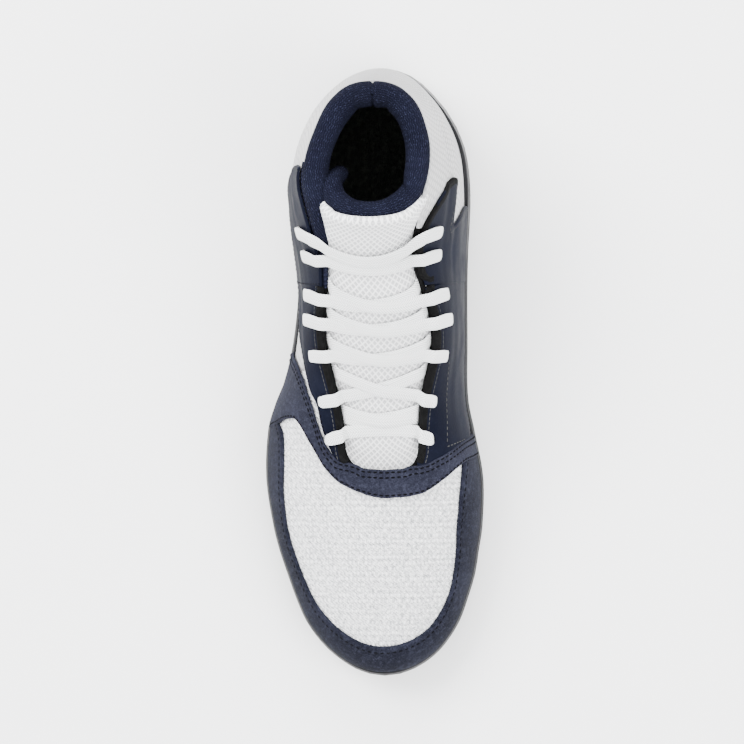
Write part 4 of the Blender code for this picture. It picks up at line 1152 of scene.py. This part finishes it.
def makeLaces():
    pieces["lace_bar_1"] = ribbon("laceBar1", barPath(0, 0.0, 0))
    for side, word in ((-1, "outer"), (1, "inner")):
        raised = lace["thick"] * lace["crossed"] if side > 0 else 0
        pieces["laceUnder_" + word] = ribbon("laceUnder_" + word, underPath(side, raised))
        for row in lace["ends"]:
            name = f"laceCross{row + 1}_" + word
            pieces[name] = ribbon(name, crossingPath(side, row, raised))
    for row, raised in ((5, 0), (6, lace["thick"] * 0.9)):
        pieces[f"laceTop{row + 1}"] = ribbon(f"laceTop{row + 1}", barPath(row, lace["topSags"][row], raised))
    print(f"laces made, {sum(strandLengths) / mm:.0f} mm in all")


def punchEyelets():   # holes through the stays, the flaps and the knit
    points, faces, sides, deep = [], [], 20, 6 * mm
    angle = tau * np.arange(sides) / sides
    for side in (-1, 1):
        for row, rise in zip(lace["rows"], lace["rises"]):
            base, top = (stayPoint(side, row, rise, out) for out in (-deep, deep))
            up = unit(top - base)
            way = stayWay(side, row, rise)
            way = unit(way - up * (way @ up))
            cross = np.cross(up, way)
            ring = way[None] * np.cos(angle)[:, None] + cross[None] * np.sin(angle)[:, None]
            ring *= lace["hole"] / 2
            faces.append(tubeFaces(2, sides) + len(points) * sides)
            points += [base + ring, top + ring]
    cutter = makeMesh("eyeletCutter", np.concatenate(points), np.concatenate(faces),
                      np.zeros((len(points) * sides, 2)), ["binding"])
    for name in ("eyestay_medial", "eyestay_lateral", "flap_medial", "flap_lateral", "upper"):
        piece = pieces[name]
        cut = piece.modifiers.new("holes", "BOOLEAN")
        cut.object = cutter
        cut.solver = "EXACT"
        bpy.context.view_layer.objects.active = piece
        with bpy.context.temp_override(object=piece, active_object=piece):
            bpy.ops.object.modifier_apply(modifier=cut.name)
    bpy.data.objects.remove(cutter)
    print("eyelets punched")


# Making
pieces["upper"] = makeUpper()
print("shell made")
makeOverlays()
makeSoleBand()
makeTongue()
makeCollar()
makeLaces()
punchEyelets()

for name, piece in pieces.items():
    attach(piece, "root")
    if name.startswith("lace"):
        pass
    elif name.startswith(("eyestay", "flap", "binding")):
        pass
    else:
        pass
    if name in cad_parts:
        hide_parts(name)
for row in lace["ends"]:
    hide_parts(f"lace_cross_{row + 1}")
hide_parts("lace_top")
for node, finish in (("outsole", "rubber"), ("insole", "insole")):
    piece = bpy.data.objects[node]
    for slot in piece.material_slots:
        slot.link = "OBJECT"
        slot.material = paints[finish]


# Floor, light and camera
stage = {
    "colour": (0.93, 0.93, 0.93), "world": 2.6, "sky": (0.95, 0.96, 0.98, 1), "lens": 199,
    "lamps": [   # place, size, watts
        ((-0.9, 0.7, 1.5), 0.9, 66.0), ((0.9, -0.5, 1.3), 1.1, 36.3), ((0.0, 1.4, 0.9), 0.8, 26.4),
    ],
    "aim": (0, 0, 0.05), "camera": (0.062, 0.0, 2.0),
}

bpy.ops.mesh.primitive_plane_add(size=6)
floor = bpy.context.object
floor.name = "floor"
floorPaint = Paint("floorPaint", stage["colour"], 0.7)
floor.data.materials.append(floorPaint.material)

for place, size, watts in stage["lamps"]:
    light = bpy.data.lights.new("softbox", "AREA")
    light.size = size
    light.energy = watts
    lamp = bpy.data.objects.new("softbox", light)
    lamp.location = place
    lamp.rotation_euler = (Vector(stage["aim"]) - Vector(place)).to_track_quat("-Z", "Y").to_euler()
    bpy.context.scene.collection.objects.link(lamp)

world = bpy.data.worlds.new("studio")
world.use_nodes = True
sky = world.node_tree.nodes["Background"]
sky.inputs["Color"].default_value = stage["sky"]
sky.inputs["Strength"].default_value = stage["world"]
bpy.context.scene.world = world

camera = bpy.data.objects.new("camera", bpy.data.cameras.new("camera"))
camera.data.lens = stage["lens"]
camera.location = stage["camera"]
back = (camera.location - Vector(stage["aim"])).normalized()
right = Vector((0, 1, 0)).cross(back).normalized()
camera.rotation_euler = Matrix((right, back.cross(right), back)).transposed().to_euler()
bpy.context.scene.collection.objects.link(camera)
bpy.context.scene.camera = camera
